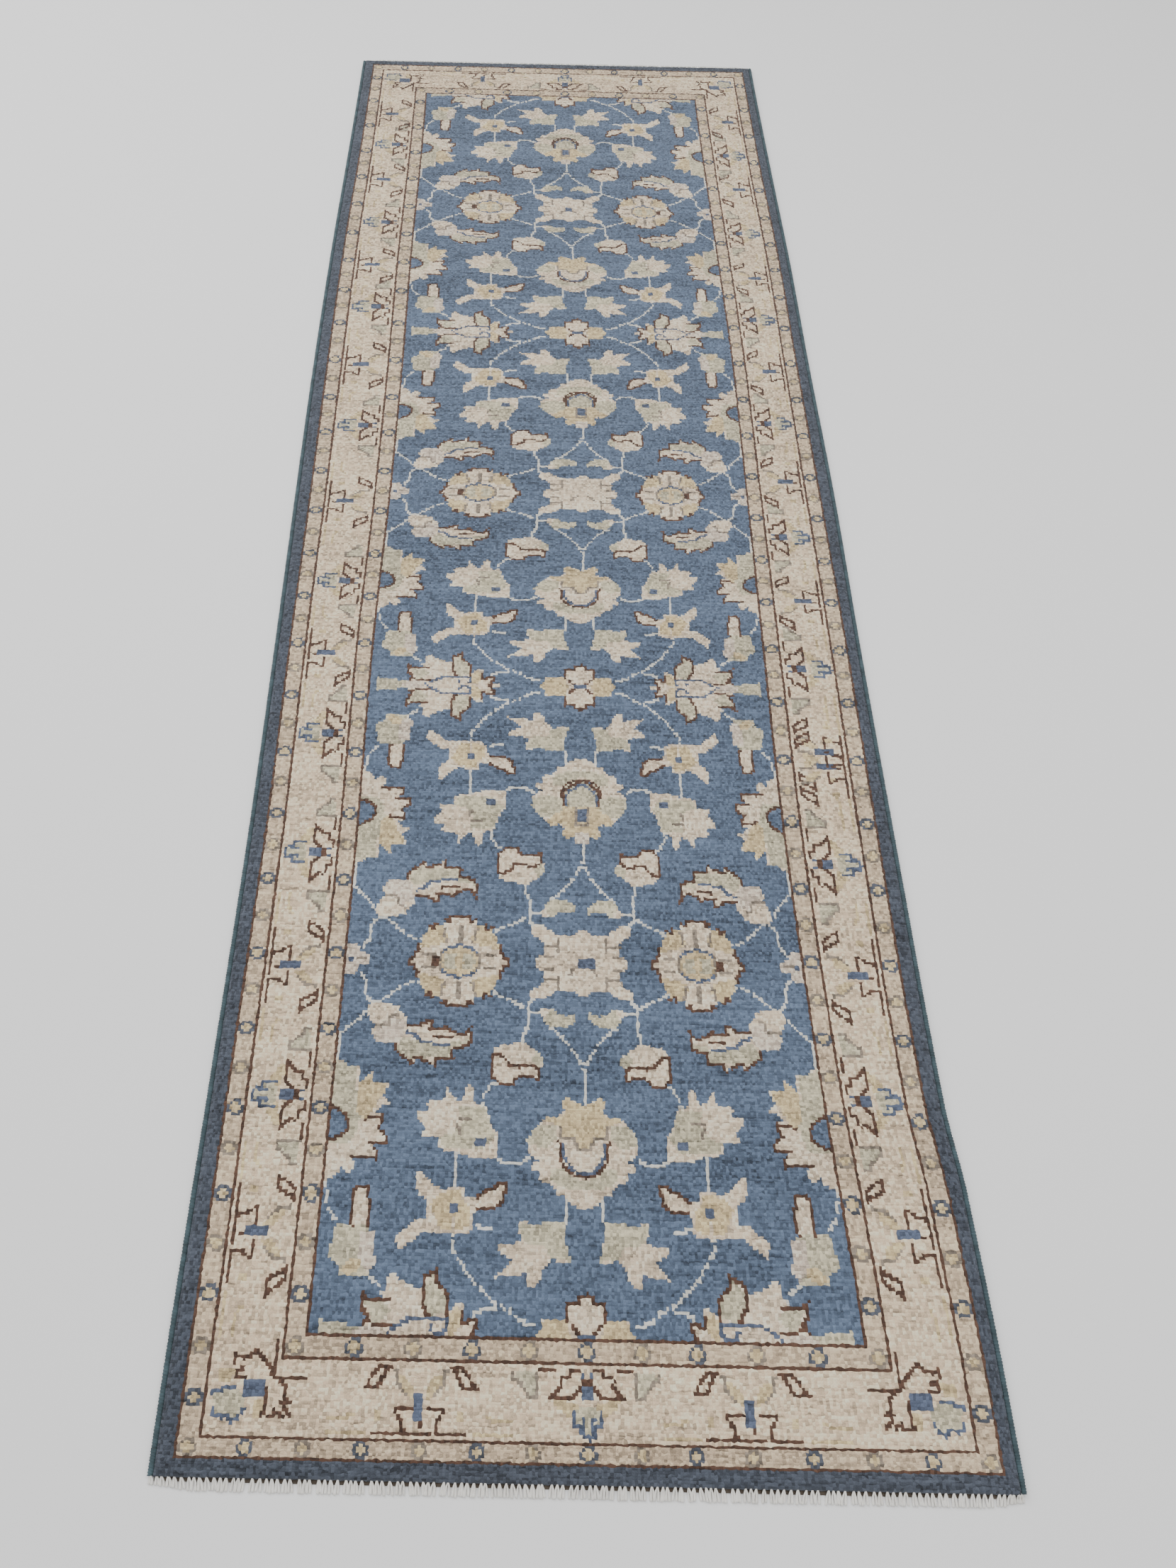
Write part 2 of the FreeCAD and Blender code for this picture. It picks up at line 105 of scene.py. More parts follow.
def wander(y, values):
    """A smooth curve through values at even stations along the rug, at the places y."""
    knots = np.array([values[0]] + list(values) + [values[-1]], float)
    at = np.clip((y - STRAY_FROM) / (STRAY_TO - STRAY_FROM), 0, 1) * (len(values) - 1)
    k = np.minimum(at.astype(int), len(values) - 2)
    t = at - k
    a, b, c, d = knots[k], knots[k + 1], knots[k + 2], knots[k + 3]
    return b + 0.5 * t * (c - a + t * (2 * a - 5 * b + 4 * c - d + t * (3 * (b - c) + d - a)))


def lay(columns, rows):
    """Where chart places lie on the real rug, which strays a little from a true rectangle."""
    columns, rows = np.broadcast_arrays(np.asarray(columns, float), np.asarray(rows, float))
    y = -rows * ROW + np.interp(rows, ROW_STATIONS, ROW_STRAY) / MILLIMETRES
    strays = [wander(y, values) for values in STRAY]
    strays[-2] = strays[-2] + KINK * smooth((y - KINK_FROM) / (KINK_TO - KINK_FROM))
    strays[-1] = strays[-1] + KINK * smooth((y - KINK_FROM) / (KINK_TO - KINK_FROM))
    stray = np.zeros(y.shape)
    for left, right, a, b in zip(STRAY_COLUMNS, STRAY_COLUMNS[1:], strays, strays[1:]):
        here = (columns >= left) & (columns <= right)
        t = (columns - left) / (right - left)
        stray = np.where(here, a + t * (b - a), stray)
    stray = np.where(columns < STRAY_COLUMNS[0], strays[0], stray)
    stray = np.where(columns > STRAY_COLUMNS[-1], strays[-1], stray)
    x = columns * KNOT + stray / MILLIMETRES
    slant = np.interp(rows, ROW_STATIONS, ROW_SLANT) / MILLIMETRES
    return x, y + slant * x / (2 * pile_high.x)


# ---- the knot chart -------------------------------------------------------------------------
YARNS = ["field", "ivory", "gold", "sage", "brown", "slate", "tan", "vine", "rose",
         "guard", "ground", "band"]
CODE = {name: number for number, name in enumerate(YARNS)}
chart = np.zeros((2 * ROWS, 2 * COLUMNS), dtype=np.int8)      # [row, column]


def window(points):
    """The part of the chart round these points, and the places of its knots' middles."""
    xs, ys = zip(*points)
    x0, x1 = max(math.floor(min(xs)), -COLUMNS), min(math.ceil(max(xs)), COLUMNS)
    y0, y1 = max(math.floor(min(ys)), -ROWS), min(math.ceil(max(ys)), ROWS)
    if x1 <= x0 or y1 <= y0:
        return None
    gx, gy = np.meshgrid(np.arange(x0, x1) + 0.5, np.arange(y0, y1) + 0.5)
    return gx, gy, chart[y0 + ROWS:y1 + ROWS, x0 + COLUMNS:x1 + COLUMNS]


STRIDE = 0.4             # knots between the places tried along a line


def fill(yarn, points):
    """Knots whose middle lies inside the outline take the yarn."""
    found = window(points)
    if found is None:
        return
    gx, gy, part = found
    inside = np.zeros(gx.shape, dtype=bool)
    for (ax, ay), (bx, by) in zip(points, points[1:] + points[:1]):
        if ay != by:
            crosses = (gy >= min(ay, by)) & (gy < max(ay, by))
            inside ^= crosses & (gx < ax + (gy - ay) * (bx - ax) / (by - ay))
    part[inside] = CODE[yarn]


def line(yarn, points, dash=None):
    """Knots along a run of straight stretches take the yarn; dash is how many knots on and off."""
    done = 0.0
    for (ax, ay), (bx, by) in zip(points, points[1:]):
        length = math.hypot(bx - ax, by - ay)
        for t in np.linspace(0, 1, int(length / STRIDE) + 2):
            if dash and math.fmod(done + t * length, sum(dash)) >= dash[0]:
                continue
            x, y = ax + t * (bx - ax), ay + t * (by - ay)
            column, row = math.floor(x) + COLUMNS, math.floor(y) + ROWS
            if 0 <= column < 2 * COLUMNS and 0 <= row < 2 * ROWS:
                chart[row, column] = CODE[yarn]
        done += length


def draw(layers, place):
    """A motif's layers, in order, with its points moved to where place puts them."""
    for kind, yarn, points in layers:
        moved = [place(x, y) for x, y in points]
        if kind == F:
            fill(yarn, moved)
        else:
            line(yarn, moved)


# Motifs of the field, in knots from the middle of a star rosette: one quarter repeat, with x
# to the left negative and y towards the next mirror line. F fills an outline, L draws a line.
F, L = "fill", "line"

STAR = [
    (F, "ivory", [(-18.5, -1), (-18, 2), (-16, 2.8), (-15, 2.5), (-15, 7), (-16, 8.5), (-18, 10),
        (-20, 11), (-20, 13), (-19, 14.5), (-15, 14.5), (-14, 13.6), (-12, 12.4), (-10, 11), (-3, 11),
        (-2, 12.5), (0, 13.8), (0, -1)]),
    (L, "tan", [(-15, 2.6), (-12, 2.4)]),
    (L, "tan", [(-9.6, 5), (-9.6, 10)]),
    (L, "tan", [(-15, 7), (-10, 6.8)]),
    (L, "tan", [(-5.2, -4.4), (-4, -2.6), (-2.4, -1.6)]),
]

SMALL_LEAF = [
    (F, "sage", [(-17.5, 19), (-16, 18.4), (-11, 18.4), (-9, 20), (-7, 20.6), (-4, 20), (-2.5, 19.4),
        (-2.5, 22), (-4, 23.5), (-6, 24.5), (-10, 25), (-13, 24.5), (-14.4, 23), (-15, 21),
        (-16.5, 20.4)]),
    (F, "ivory", [(-17.5, 19), (-16, 18.4), (-13, 18.4), (-14.5, 22), (-16.5, 20.4)]),
]

TULIP = [
    (F, "ivory", [(-33, 35), (-32.5, 33.5), (-31, 32.3), (-26, 31.6), (-25, 31), (-21.5, 31), (-19, 33),
        (-16, 35), (-14.5, 36.5), (-14.5, 39), (-16, 40), (-16.5, 44), (-23.5, 43.4), (-25.5, 46),
        (-31, 46), (-33, 43)]),
    (F, "sage", [(-17.5, 34.4), (-14.5, 36.5), (-14.5, 39), (-16.6, 40), (-19, 37)]),
    (L, "brown", [(-33.2, 35.6), (-33.2, 44)]),
    (L, "brown", [(-32.4, 44.6), (-31, 46.2), (-26, 46.2), (-25.4, 44.8), (-23, 43.2), (-19, 43.4),
        (-16.4, 44.6)]),
    (L, "brown", [(-33, 35.5), (-31, 35.5), (-29.5, 36.5), (-28, 38), (-26.8, 39.8), (-24, 40),
        (-22, 39), (-19, 39), (-17, 40.2), (-16.4, 42), (-16.4, 44.5)]),
]

ROSETTE_X = -47.3


def rosette(sign):
    """Half a round rosette, on the side that sign gives."""
    def at(points):
        return [(ROSETTE_X + sign * x, y) for x, y in points]
    half = [
        (F, "ivory", at([(0, -1), (18.6, -1), (18.4, 1), (16.6, 1.6), (17, 3.4), (15.4, 4),
            (15.8, 6.4), (14.4, 7), (14.6, 10), (13, 10.4), (12.4, 13), (10, 12.6), (9.4, 14.6),
            (6.6, 14), (6, 16), (4, 15.4), (3.4, 17.6), (0, 17)])),
        (F, "gold", at([(4.2, 9), (6, 6.8), (10.5, 5.8), (14.6, 5), (15.8, 6.6), (14.4, 7.4),
            (14.6, 10), (13, 10.6), (12.4, 13), (10, 12.8), (9.4, 14.6), (6.6, 14)])),
        (F, "gold", at([(0, -1), (7.6, -1), (7.2, 2.6), (5, 4.6), (2.6, 5.4), (0, 5.8)])),
        (F, "sage", at([(2, -1), (6.4, -1), (5.4, 2.4), (3, 3.6), (1, 2.4)])),
        (L, "tan", at([(7.8, -0.5), (7.5, 2.5), (6.4, 3.8)])),
        (L, "slate", at([(6.4, 3.8), (5.6, 4.6), (3, 5.7), (0, 6.2)])),
        (L, "tan", at([(5.2, 8), (6, 10), (6.4, 13)])),
        (L, "tan", at([(0.6, 8), (0.6, 14)])),
        (L, "tan", at([(9.6, 2.6), (14, 2.6)])),
        (L, "brown", at([(18.8, -1), (18.6, 1.2), (16.8, 1.8), (17.2, 3.6), (15.6, 4.2), (16, 6.6)])),
        (L, "brown", at([(12.6, 13.2), (10.2, 12.8), (9.6, 14.8)])),
        (L, "brown", at([(6.2, 16.2), (4, 15.8), (3.6, 17.8), (0, 17.2)])),
    ]
    if sign < 0:
        half.append((F, "brown", at([(8, -2.2), (10.4, -2.2), (10.4, 2), (8, 2)])))
    return half


EDGE_FLOWER = [
    (F, "rose", [(-91, -1), (-82, -1), (-82.4, 1.6), (-84, 2.5), (-86, 2.5), (-86.4, 5), (-88, 5.8),
        (-91, 5.6)]),
    (F, "slate", [(-90.2, -1.5), (-88, -1.5), (-88, 1.2), (-90.2, 1.2)]),
    (L, "tan", [(-87, 0.5), (-83.4, 0.5)]),
]

SICKLE = [
    (F, "ivory", [(-80, 17), (-74, 17), (-69, 18), (-68.5, 20), (-66, 22), (-66, 25), (-60, 25),
        (-57.6, 23), (-56.4, 23.4), (-56.4, 26), (-53, 26.4), (-50, 25.2), (-49.8, 27.6), (-44, 28),
        (-42.4, 26.4), (-41.6, 26.6), (-42, 31), (-43, 32.6), (-48, 33.2), (-48.4, 37), (-50, 37.6),
        (-54.5, 37), (-55, 40), (-57, 39), (-61, 38), (-62, 37.4), (-62.6, 39.4), (-64, 39), (-67, 37),
        (-69, 34.6), (-70, 32.4), (-76, 32.4), (-78, 30.6), (-79, 28), (-78, 26), (-79.4, 24),
        (-80.6, 22), (-81, 19)]),
    (F, "rose", [(-77, 26), (-71, 22), (-66, 24), (-67, 29), (-70, 32.4), (-76, 32.4), (-78, 30.6)]),
    (F, "sage", [(-67, 30), (-61, 31), (-56, 32), (-49, 33), (-48.4, 37), (-54.5, 37), (-61, 38),
        (-67, 37), (-69, 34.6)]),
    (F, "sage", [(-49, 31), (-42.4, 30.4), (-43, 32.6), (-49, 33)]),
    (L, "tan", [(-78, 25.4), (-73, 25), (-72, 22), (-70, 21)]),
    (L, "slate", [(-66, 27.8), (-63, 28.6), (-61, 30.8), (-59, 31.8), (-50, 32.4)]),
    (L, "brown", [(-66, 25.2), (-60.5, 25.2), (-57.8, 23.2), (-56.4, 23.4), (-56.4, 26), (-57.4, 26.8),
        (-53.6, 26.8), (-50.2, 25.2), (-49.8, 27.8), (-44, 28.2), (-42.4, 26.6), (-41.4, 25)]),
    (L, "brown", [(-55.4, 29), (-49, 29.8)]),
    (L, "brown", [(-42, 27.5), (-42, 31), (-43, 32.8), (-48, 33.4)]),
    (L, "brown", [(-48.4, 34), (-48, 37), (-49.6, 37.8), (-54.4, 37.2), (-55, 40.2)]),
    (L, "brown", [(-57, 39), (-61.4, 37.4), (-62.4, 37.6)]),
    (L, "brown", [(-62.6, 39.4), (-66, 37.6), (-69, 35), (-69.6, 32.6)]),
]

HALF_PALMETTE = [
    (F, "ivory", [(-91, 38), (-89, 39), (-86, 41), (-82.4, 41), (-82.4, 47), (-80, 46), (-77.6, 43),
        (-76.8, 44), (-76.4, 47.6), (-74, 46.6), (-71.2, 46.6), (-71, 48.6), (-73, 51.6), (-70.2, 54.6),
        (-73, 55.4), (-75.4, 58), (-72.3, 58.6), (-73, 61.5), (-74, 63.6), (-72.2, 64.3), (-70.8, 66),
        (-70.8, 69), (-75.8, 69), (-73.4, 71.6), (-73.4, 73.6), (-80, 73.2), (-82.8, 73.6), (-81, 75.4),
        (-81.4, 77.6), (-83.2, 79.6), (-85, 77), (-86.2, 78), (-86.6, 80), (-88.6, 81), (-91, 82)]),
    (F, "sage", [(-91, 39), (-86, 41), (-82.6, 41), (-82.6, 50), (-80.6, 57), (-80.4, 61), (-82, 67),
        (-84, 69), (-87, 69), (-91, 69)]),
    (F, "gold", [(-82.4, 47.4), (-80, 46), (-77.6, 43.4), (-76.4, 47.6), (-72, 46.8), (-72.4, 50.4),
        (-75, 54), (-76, 58), (-78.4, 60.2), (-81.4, 58.6), (-82.2, 53)]),
    (F, "field", [(-91, 55.6), (-88.4, 57), (-86, 58.6), (-84.8, 61), (-84.8, 64.4), (-87, 66.8),
        (-91, 67.4)]),
    (L, "brown", [(-91, 55.4), (-88.4, 57), (-86, 58.6), (-84.8, 61), (-84.8, 64.2), (-87, 66.8),
        (-91, 67.5)]),
    (L, "brown", [(-79, 60.6), (-77.6, 59.6), (-74, 59.4), (-72.2, 58.8), (-72.8, 61.6), (-74, 63.6),
        (-72.2, 64.4), (-70.8, 66), (-70.8, 68.8), (-76.4, 68.8)]),
    (L, "brown", [(-74.6, 70.2), (-73.2, 71.8), (-73.4, 74), (-75.6, 73.8), (-80, 73), (-83, 73.4)]),
]

FAN_LEAF = [
    (F, "ivory", [(-49.4, 48), (-50, 50), (-51, 53.5), (-56, 53), (-56.6, 54.6), (-55, 56.4), (-60, 57),
        (-60, 60), (-58, 61), (-56.6, 63), (-58, 64.6), (-57.4, 66.4), (-52.4, 66.2), (-52.4, 70),
        (-50, 70.5), (-45, 71), (-43.5, 72), (-39, 73), (-31.5, 72.6), (-31, 64), (-32.6, 63),
        (-34.5, 58), (-36, 54), (-39.8, 53.4), (-40.4, 51), (-40, 48), (-41.2, 47.2), (-43, 49),
        (-44, 53), (-47, 52)]),
    (F, "sage", [(-45, 55), (-36, 55), (-33, 63), (-32, 65), (-34, 68), (-36, 70), (-50, 70), (-52, 66),
        (-47, 65), (-44, 60)]),
    (F, "slate", [(-38.6, 66), (-35.4, 66), (-35.4, 69), (-38.6, 69)]),
    (L, "tan", [(-45, 59), (-40.6, 59)]),
    (L, "tan", [(-45.6, 61), (-44.4, 64)]),
]

PALMETTE = [
    (F, "ivory", [(0, 54), (-2, 53.5), (-4, 52), (-6, 50.5), (-8, 52), (-8, 54), (-7, 55.6), (-8, 57.4),
        (-14, 58), (-15, 60), (-17, 61), (-16.6, 62.6), (-19, 64), (-20.6, 66), (-20, 68),
        (-20.4, 69.6), (-18, 72.5), (-16, 72.6), (-16.5, 74), (-19.6, 75), (-18.5, 77), (-16.4, 77.5),
        (-16, 79), (-14.6, 80.6), (-11, 82), (-10.4, 83.6), (-9.4, 85), (-6, 85.6), (-5.4, 87),
        (-3, 88.8), (0, 89)]),
    (F, "sage", [(-17, 61), (-9.6, 60.8), (-10, 66), (-14, 69), (-20.2, 68), (-20.6, 66), (-19, 64)]),
    (F, "sage", [(-11.4, 76), (-8.8, 75.4), (-5, 78.6), (0, 80), (0, 83.4), (-8, 82.4), (-12.4, 80)]),
    (F, "gold", [(0, 54), (-4, 52.4), (-6, 50.8), (-8, 53), (-7, 56), (-8, 57.6), (-14, 58.2),
        (-14.6, 60.4), (-8, 60.6), (-7.8, 66), (-3.6, 66), (-2.6, 69), (0, 69.2)]),
    (L, "tan", [(-8.8, 61), (-8.2, 65.6), (-3.4, 66), (-2.6, 69), (0, 69.3)]),
    (L, "brown", [(-9.4, 66.6), (-8.4, 68), (-8.6, 72), (-7.8, 74.6), (-5.6, 76.6), (-3.6, 78.4),
        (0, 79)]),
    (L, "slate", [(-7.2, 67), (-7.2, 72), (-5.4, 75), (-3, 77.2), (0, 77.8)]),
]

# the same palmette as it lies nearer the far end of each repeat
PALMETTE_FAR = [
    (F, "gold", [(-14, 60), (-12, 56.4), (-8.4, 58), (-6, 57), (-6, 52), (-4.4, 51.6), (0, 54), (0, 70),
        (-5, 70), (-7, 66)]),
    (F, "sage", [(-20.6, 70), (-19, 67), (-14, 60.4), (-8, 64), (-8, 70), (-14, 71)]),
    (F, "sage", [(-7, 66), (-7, 76), (0, 79), (0, 66)]),
    (L, "brown", [(-7.4, 67), (-7.4, 73), (-4, 76.4), (0, 78.4)]),
    (L, "slate", [(-6.2, 67), (-6.2, 72), (-3, 75), (0, 77)]),
    (F, "slate", [(-2.2, 58.6), (0, 58.6), (0, 65), (-2.2, 65)]),
    (L, "tan", [(-2.8, 66), (-2.8, 58), (0, 58)]),
    (F, "rose", [(-2.6, 49), (0, 49), (0, 54), (-2.6, 54)]),
]

CROSS_FLOWER = [
    (F, "ivory", [(-59, 77.4), (-57.8, 78), (-55, 80.8), (-52, 83), (-50, 83.8), (-46, 83), (-42.4, 83),
        (-42, 85.6), (-38, 86.2), (-35, 84.2), (-31, 83.2), (-30, 82), (-28, 82), (-28.4, 86),
        (-30, 88.4), (-33, 89.2), (-37, 89.4), (-39, 92), (-39, 95), (-40.6, 96.6), (-44.6, 97),
        (-48, 97.2), (-56, 96.8), (-57.4, 98.4), (-60, 100), (-64.2, 103), (-64.6, 98.4), (-64, 97),
        (-60, 94.6), (-58, 93), (-55, 92.6), (-54.8, 87.4), (-58, 85.4), (-59, 82)]),
    (F, "gold", [(-54, 88.4), (-50, 85), (-46, 84), (-43.4, 84), (-42.6, 87), (-39.6, 90), (-40, 95),
        (-44, 95.8), (-50, 95.8), (-52, 92)]),
    (F, "slate", [(-47.2, 88.2), (-43.8, 88.2), (-43.8, 91.2), (-47.2, 91.2)]),
    (L, "ivory", [(-45.6, 92), (-45.6, 97)]),
    (L, "brown", [(-38, 86.4), (-35, 84.2), (-33, 83.5), (-30.4, 82.5), (-30, 81.4), (-27.5, 81.8),
        (-27.3, 83.5), (-28.4, 85), (-28.3, 87), (-30, 88.8), (-33, 89.4), (-37.4, 89.4)]),
]

LEAF_PAIR = [
    (F, "ivory", [(-22.5, 93.2), (-17, 93.8), (-13, 93), (-7.4, 93), (-6.6, 98), (-6.4, 101),
        (-5, 103.6), (-5.2, 105), (-8, 105), (-12, 104), (-13, 105.6), (-15, 108), (-15, 110),
        (-17, 111.6), (-19.4, 112), (-20, 110), (-22, 109), (-28, 109), (-31, 110), (-29, 108),
        (-25, 104.6), (-30, 102), (-30.4, 100), (-25, 99.6), (-21.8, 99), (-23, 95)]),
    (F, "sage", [(-22.4, 93.4), (-17, 94), (-13, 93), (-7.4, 93), (-6.4, 101), (-5, 104.6), (-12, 104),
        (-14, 100.4), (-21, 99.4), (-23, 95)]),
    (F, "slate", [(-22, 108.4), (-19.6, 108.4), (-19.6, 109.6), (-22, 109.6)]),
]

VASE = [
    (F, "sage", [(-85, 95), (-80, 94.8), (-75, 95), (-74, 96.4), (-72, 97), (-72, 101), (-71.2, 106.4),
        (-73.4, 109), (-73.6, 110.4), (-83.5, 110.4), (-83.3, 107), (-87.5, 105), (-87.4, 103),
        (-86.2, 100), (-86, 97.4)]),
    (F, "rose", [(-77, 97), (-72, 97.4), (-72, 101), (-71.2, 106.4), (-73.4, 109), (-76, 107),
        (-77, 103)]),
    (F, "gold", [(-82.6, 108.6), (-80, 105), (-76, 105), (-76, 108), (-80, 110)]),
    (F, "ivory", [(-80, 84), (-75.4, 83.6), (-74.6, 88), (-74.6, 92), (-75, 95.4), (-79.6, 95.4),
        (-80, 90)]),
    (L, "brown", [(-80, 95), (-80.2, 88), (-80.6, 85), (-78.4, 83.4), (-75.2, 83.4), (-75, 87),
        (-74.2, 91), (-75, 95)]),
]

LOTUS = [
    (F, "ivory", [(-72.5, 127), (-74, 123.6), (-72.6, 121.6), (-74, 119), (-75, 115), (-73, 116.4),
        (-68, 116), (-67.2, 113), (-67, 110), (-65, 108.6), (-62, 111), (-58, 112.4), (-55.5, 113.5),
        (-55, 110.4), (-52, 108.4), (-50.2, 107.8), (-50, 111.6), (-48, 112.4), (-46.8, 115),
        (-46.8, 119), (-44, 118), (-42.5, 116.5), (-40, 116.8), (-41.8, 119), (-41.4, 122.2),
        (-37, 121.6), (-36.7, 123.4), (-38, 125.4), (-34, 126), (-33.6, 127)]),
    (F, "sage", [(-88, 122), (-86, 123), (-80, 122.8), (-77.5, 124), (-74, 123.6), (-72, 127),
        (-88, 127)]),
    (F, "rose", [(-77.5, 127), (-76, 124.6), (-70, 123.8), (-66, 125), (-68, 127)]),
    (F, "sage", [(-74, 117), (-68, 116.6), (-65, 119), (-68, 123), (-70.6, 122.6)]),
    (F, "sage", [(-55, 112), (-51, 108.6), (-50, 112), (-47, 115), (-47, 120), (-52.4, 120.8),
        (-55, 118)]),
    (F, "gold", [(-46, 121), (-43.6, 118), (-42, 119.6), (-42, 123), (-44, 126), (-46, 126)]),
    (L, "brown", [(-74, 123), (-72.4, 121.4), (-74.2, 119), (-75, 114.8), (-73, 116.2), (-70, 116.5),
        (-66, 116.2)]),
    (L, "brown", [(-74, 119), (-72.5, 122), (-70, 123.7), (-65, 123.4)]),
    (L, "brown", [(-55, 110.5), (-53.5, 109.5), (-50.2, 107.8), (-50, 111.8), (-48.4, 112.5),
        (-46.8, 114.5), (-46.8, 120)]),
    (L, "brown", [(-55, 110.5), (-55, 117), (-54, 118.5), (-52.5, 121)]),
    (L, "brown", [(-41.6, 119), (-41.4, 122.2), (-37, 121.6), (-36.7, 123.4), (-38.3, 125.7),
        (-37.6, 127)]),
    (L, "slate", [(-67, 127), (-65.4, 125.4), (-63, 123.6), (-60, 122), (-50, 121.6), (-46.5, 121.6),
        (-46.2, 124.4), (-49, 125.5), (-51, 125), (-52, 123.4)]),
]

SMALL_ROSETTE = [
    (F, "ivory", [(0, 114.2), (-2, 114.6), (-2.5, 116.4), (-6, 116), (-6.3, 121), (-12, 120.6),
        (-15, 121.6), (-14.4, 123), (-16, 125), (-17.4, 126.2), (0, 127)]),
    (F, "gold", [(-6.3, 121.4), (-12, 120.8), (-15, 121.8), (-14.4, 123), (-16, 125), (-17.4, 126.2),
        (-5, 127)]),
    (L, "brown", [(0, 113.9), (-2, 114.5), (-2.6, 116.4), (-6.2, 116), (-6.4, 121)]),
    (L, "brown", [(-5, 122.4), (-3.8, 124), (-2.8, 124.8)]),
    (F, "slate", [(-3.2, 125), (0, 125), (0, 127), (-3.2, 127)]),
]

# the blue heart of each star, from the far one: its middle, half width and half height
STAR_HEARTS = [(0, 2, 2), (0, 0, 0), (1.6, 3.5, 2.2)]

DOTS = (1.7, 1.2)
VINES = [
    ([(-19, 14.5), (-21, 16.5), (-21, 25), (-22.4, 28), (-22.6, 31)], None),
    ([(-34, 11.6), (-31.5, 13), (-27.5, 14.6), (-24.5, 16.4), (-21, 18)], DOTS),
    ([(-21, 19), (-17, 19.8)], None),
    ([(-13, 25), (-10, 27), (-7.6, 29), (-5, 32), (-3.4, 35), (-1.6, 37.6), (0, 41)], DOTS),
    ([(0, 41), (0, 54)], None),
    ([(-61, 8.4), (-66.5, 9), (-70, 11.6), (-73.4, 13.6), (-76, 16), (-79, 16.6)], DOTS),
    ([(-79, 16.6), (-81.6, 15.4), (-82.6, 12), (-83, 8), (-85, 5)], None),
    ([(-82, 20), (-84, 23), (-87, 26), (-89.5, 28), (-91, 30)], DOTS),
    ([(-91, 30), (-90.4, 34), (-91, 38)], None),
    ([(-32, 46), (-34, 47.6), (-36.6, 51), (-37, 53), (-36, 55)], DOTS),
    ([(-31, 73.4), (-28, 74.4), (-23, 74.4), (-20, 72.6)], None),
    ([(-45, 71.6), (-45.8, 76), (-45.4, 84)], None),
    ([(-7, 93), (-6.4, 88), (-5, 84)], None),
    ([(-46, 96), (-46, 101), (-43, 105), (-40, 109), (-36.6, 112), (-33, 115), (-30, 117.4), (-26, 118.6),
      (-23, 121), (-19.6, 122.4), (-17, 122.4)], DOTS),
    ([(-38.6, 121.6), (-37, 119.6), (-34, 118.4), (-31, 118.4)], None),
    ([(-38, 94.6), (-35, 95.6), (-32.4, 95.4)], None),
    ([(-91, 82), (-90, 85), (-88.8, 90), (-87.4, 92), (-85, 94.6)], DOTS),
    ([(-73, 110.4), (-70, 112), (-68, 115)], DOTS),
]

FIELD_MOTIFS = [STAR, SMALL_LEAF, TULIP, rosette(1), rosette(-1), EDGE_FLOWER, SICKLE, HALF_PALMETTE,
                FAN_LEAF, PALMETTE, CROSS_FLOWER, LEAF_PAIR, VASE, LOTUS, SMALL_ROSETTE]

# Half a motif of the main border: the first number is the depth out from the field, the second
# goes along the border. The corner is whole.
LILY_HALF = [
    (L, "brown", [(28.1, -14.4), (28.1, -5)]),
    (L, "brown", [(28.1, -3.6), (28.1, 0)]),
    (L, "brown", [(27.6, -5), (25.4, -5.2), (24.4, -6), (22.4, -7.6)]),
    (L, "brown", [(21.8, -7.6), (21.8, -2.2)]),
    (L, "brown", [(26.8, 0), (25.4, 0)]),
    (F, "slate", [(17, 0), (17, -1.5), (25, -1.5), (25, 0)]),
    (F, "gold", [(18.6, -2.4), (16, -1.8), (14, -3), (12, -5), (11.4, -7), (13.6, -7.6), (15, -6.4),
        (17, -4.4)]),
    (L, "tan", [(17.4, -4.6), (15, -6.8), (13.6, -7.8), (11.4, -7.4), (10.4, -8.4)]),
    (L, "brown", [(15.8, -18), (15.8, -14.4), (14.6, -12.8), (13, -12.2), (11, -11.4), (9.4, -9.2)]),
    (L, "brown", [(15.4, -17.4), (13.6, -16.2), (12, -15.6), (10.4, -14.2), (9.2, -12.6), (9.2, -9.4)]),
    (L, "gold", [(28.2, -29), (28.2, -17)]),
    (L, "gold", [(24.2, -29), (24.6, -24), (23, -21)]),
    (F, "gold", [(22, -14), (25, -14), (25, -12.4), (22, -12.4)]),
]
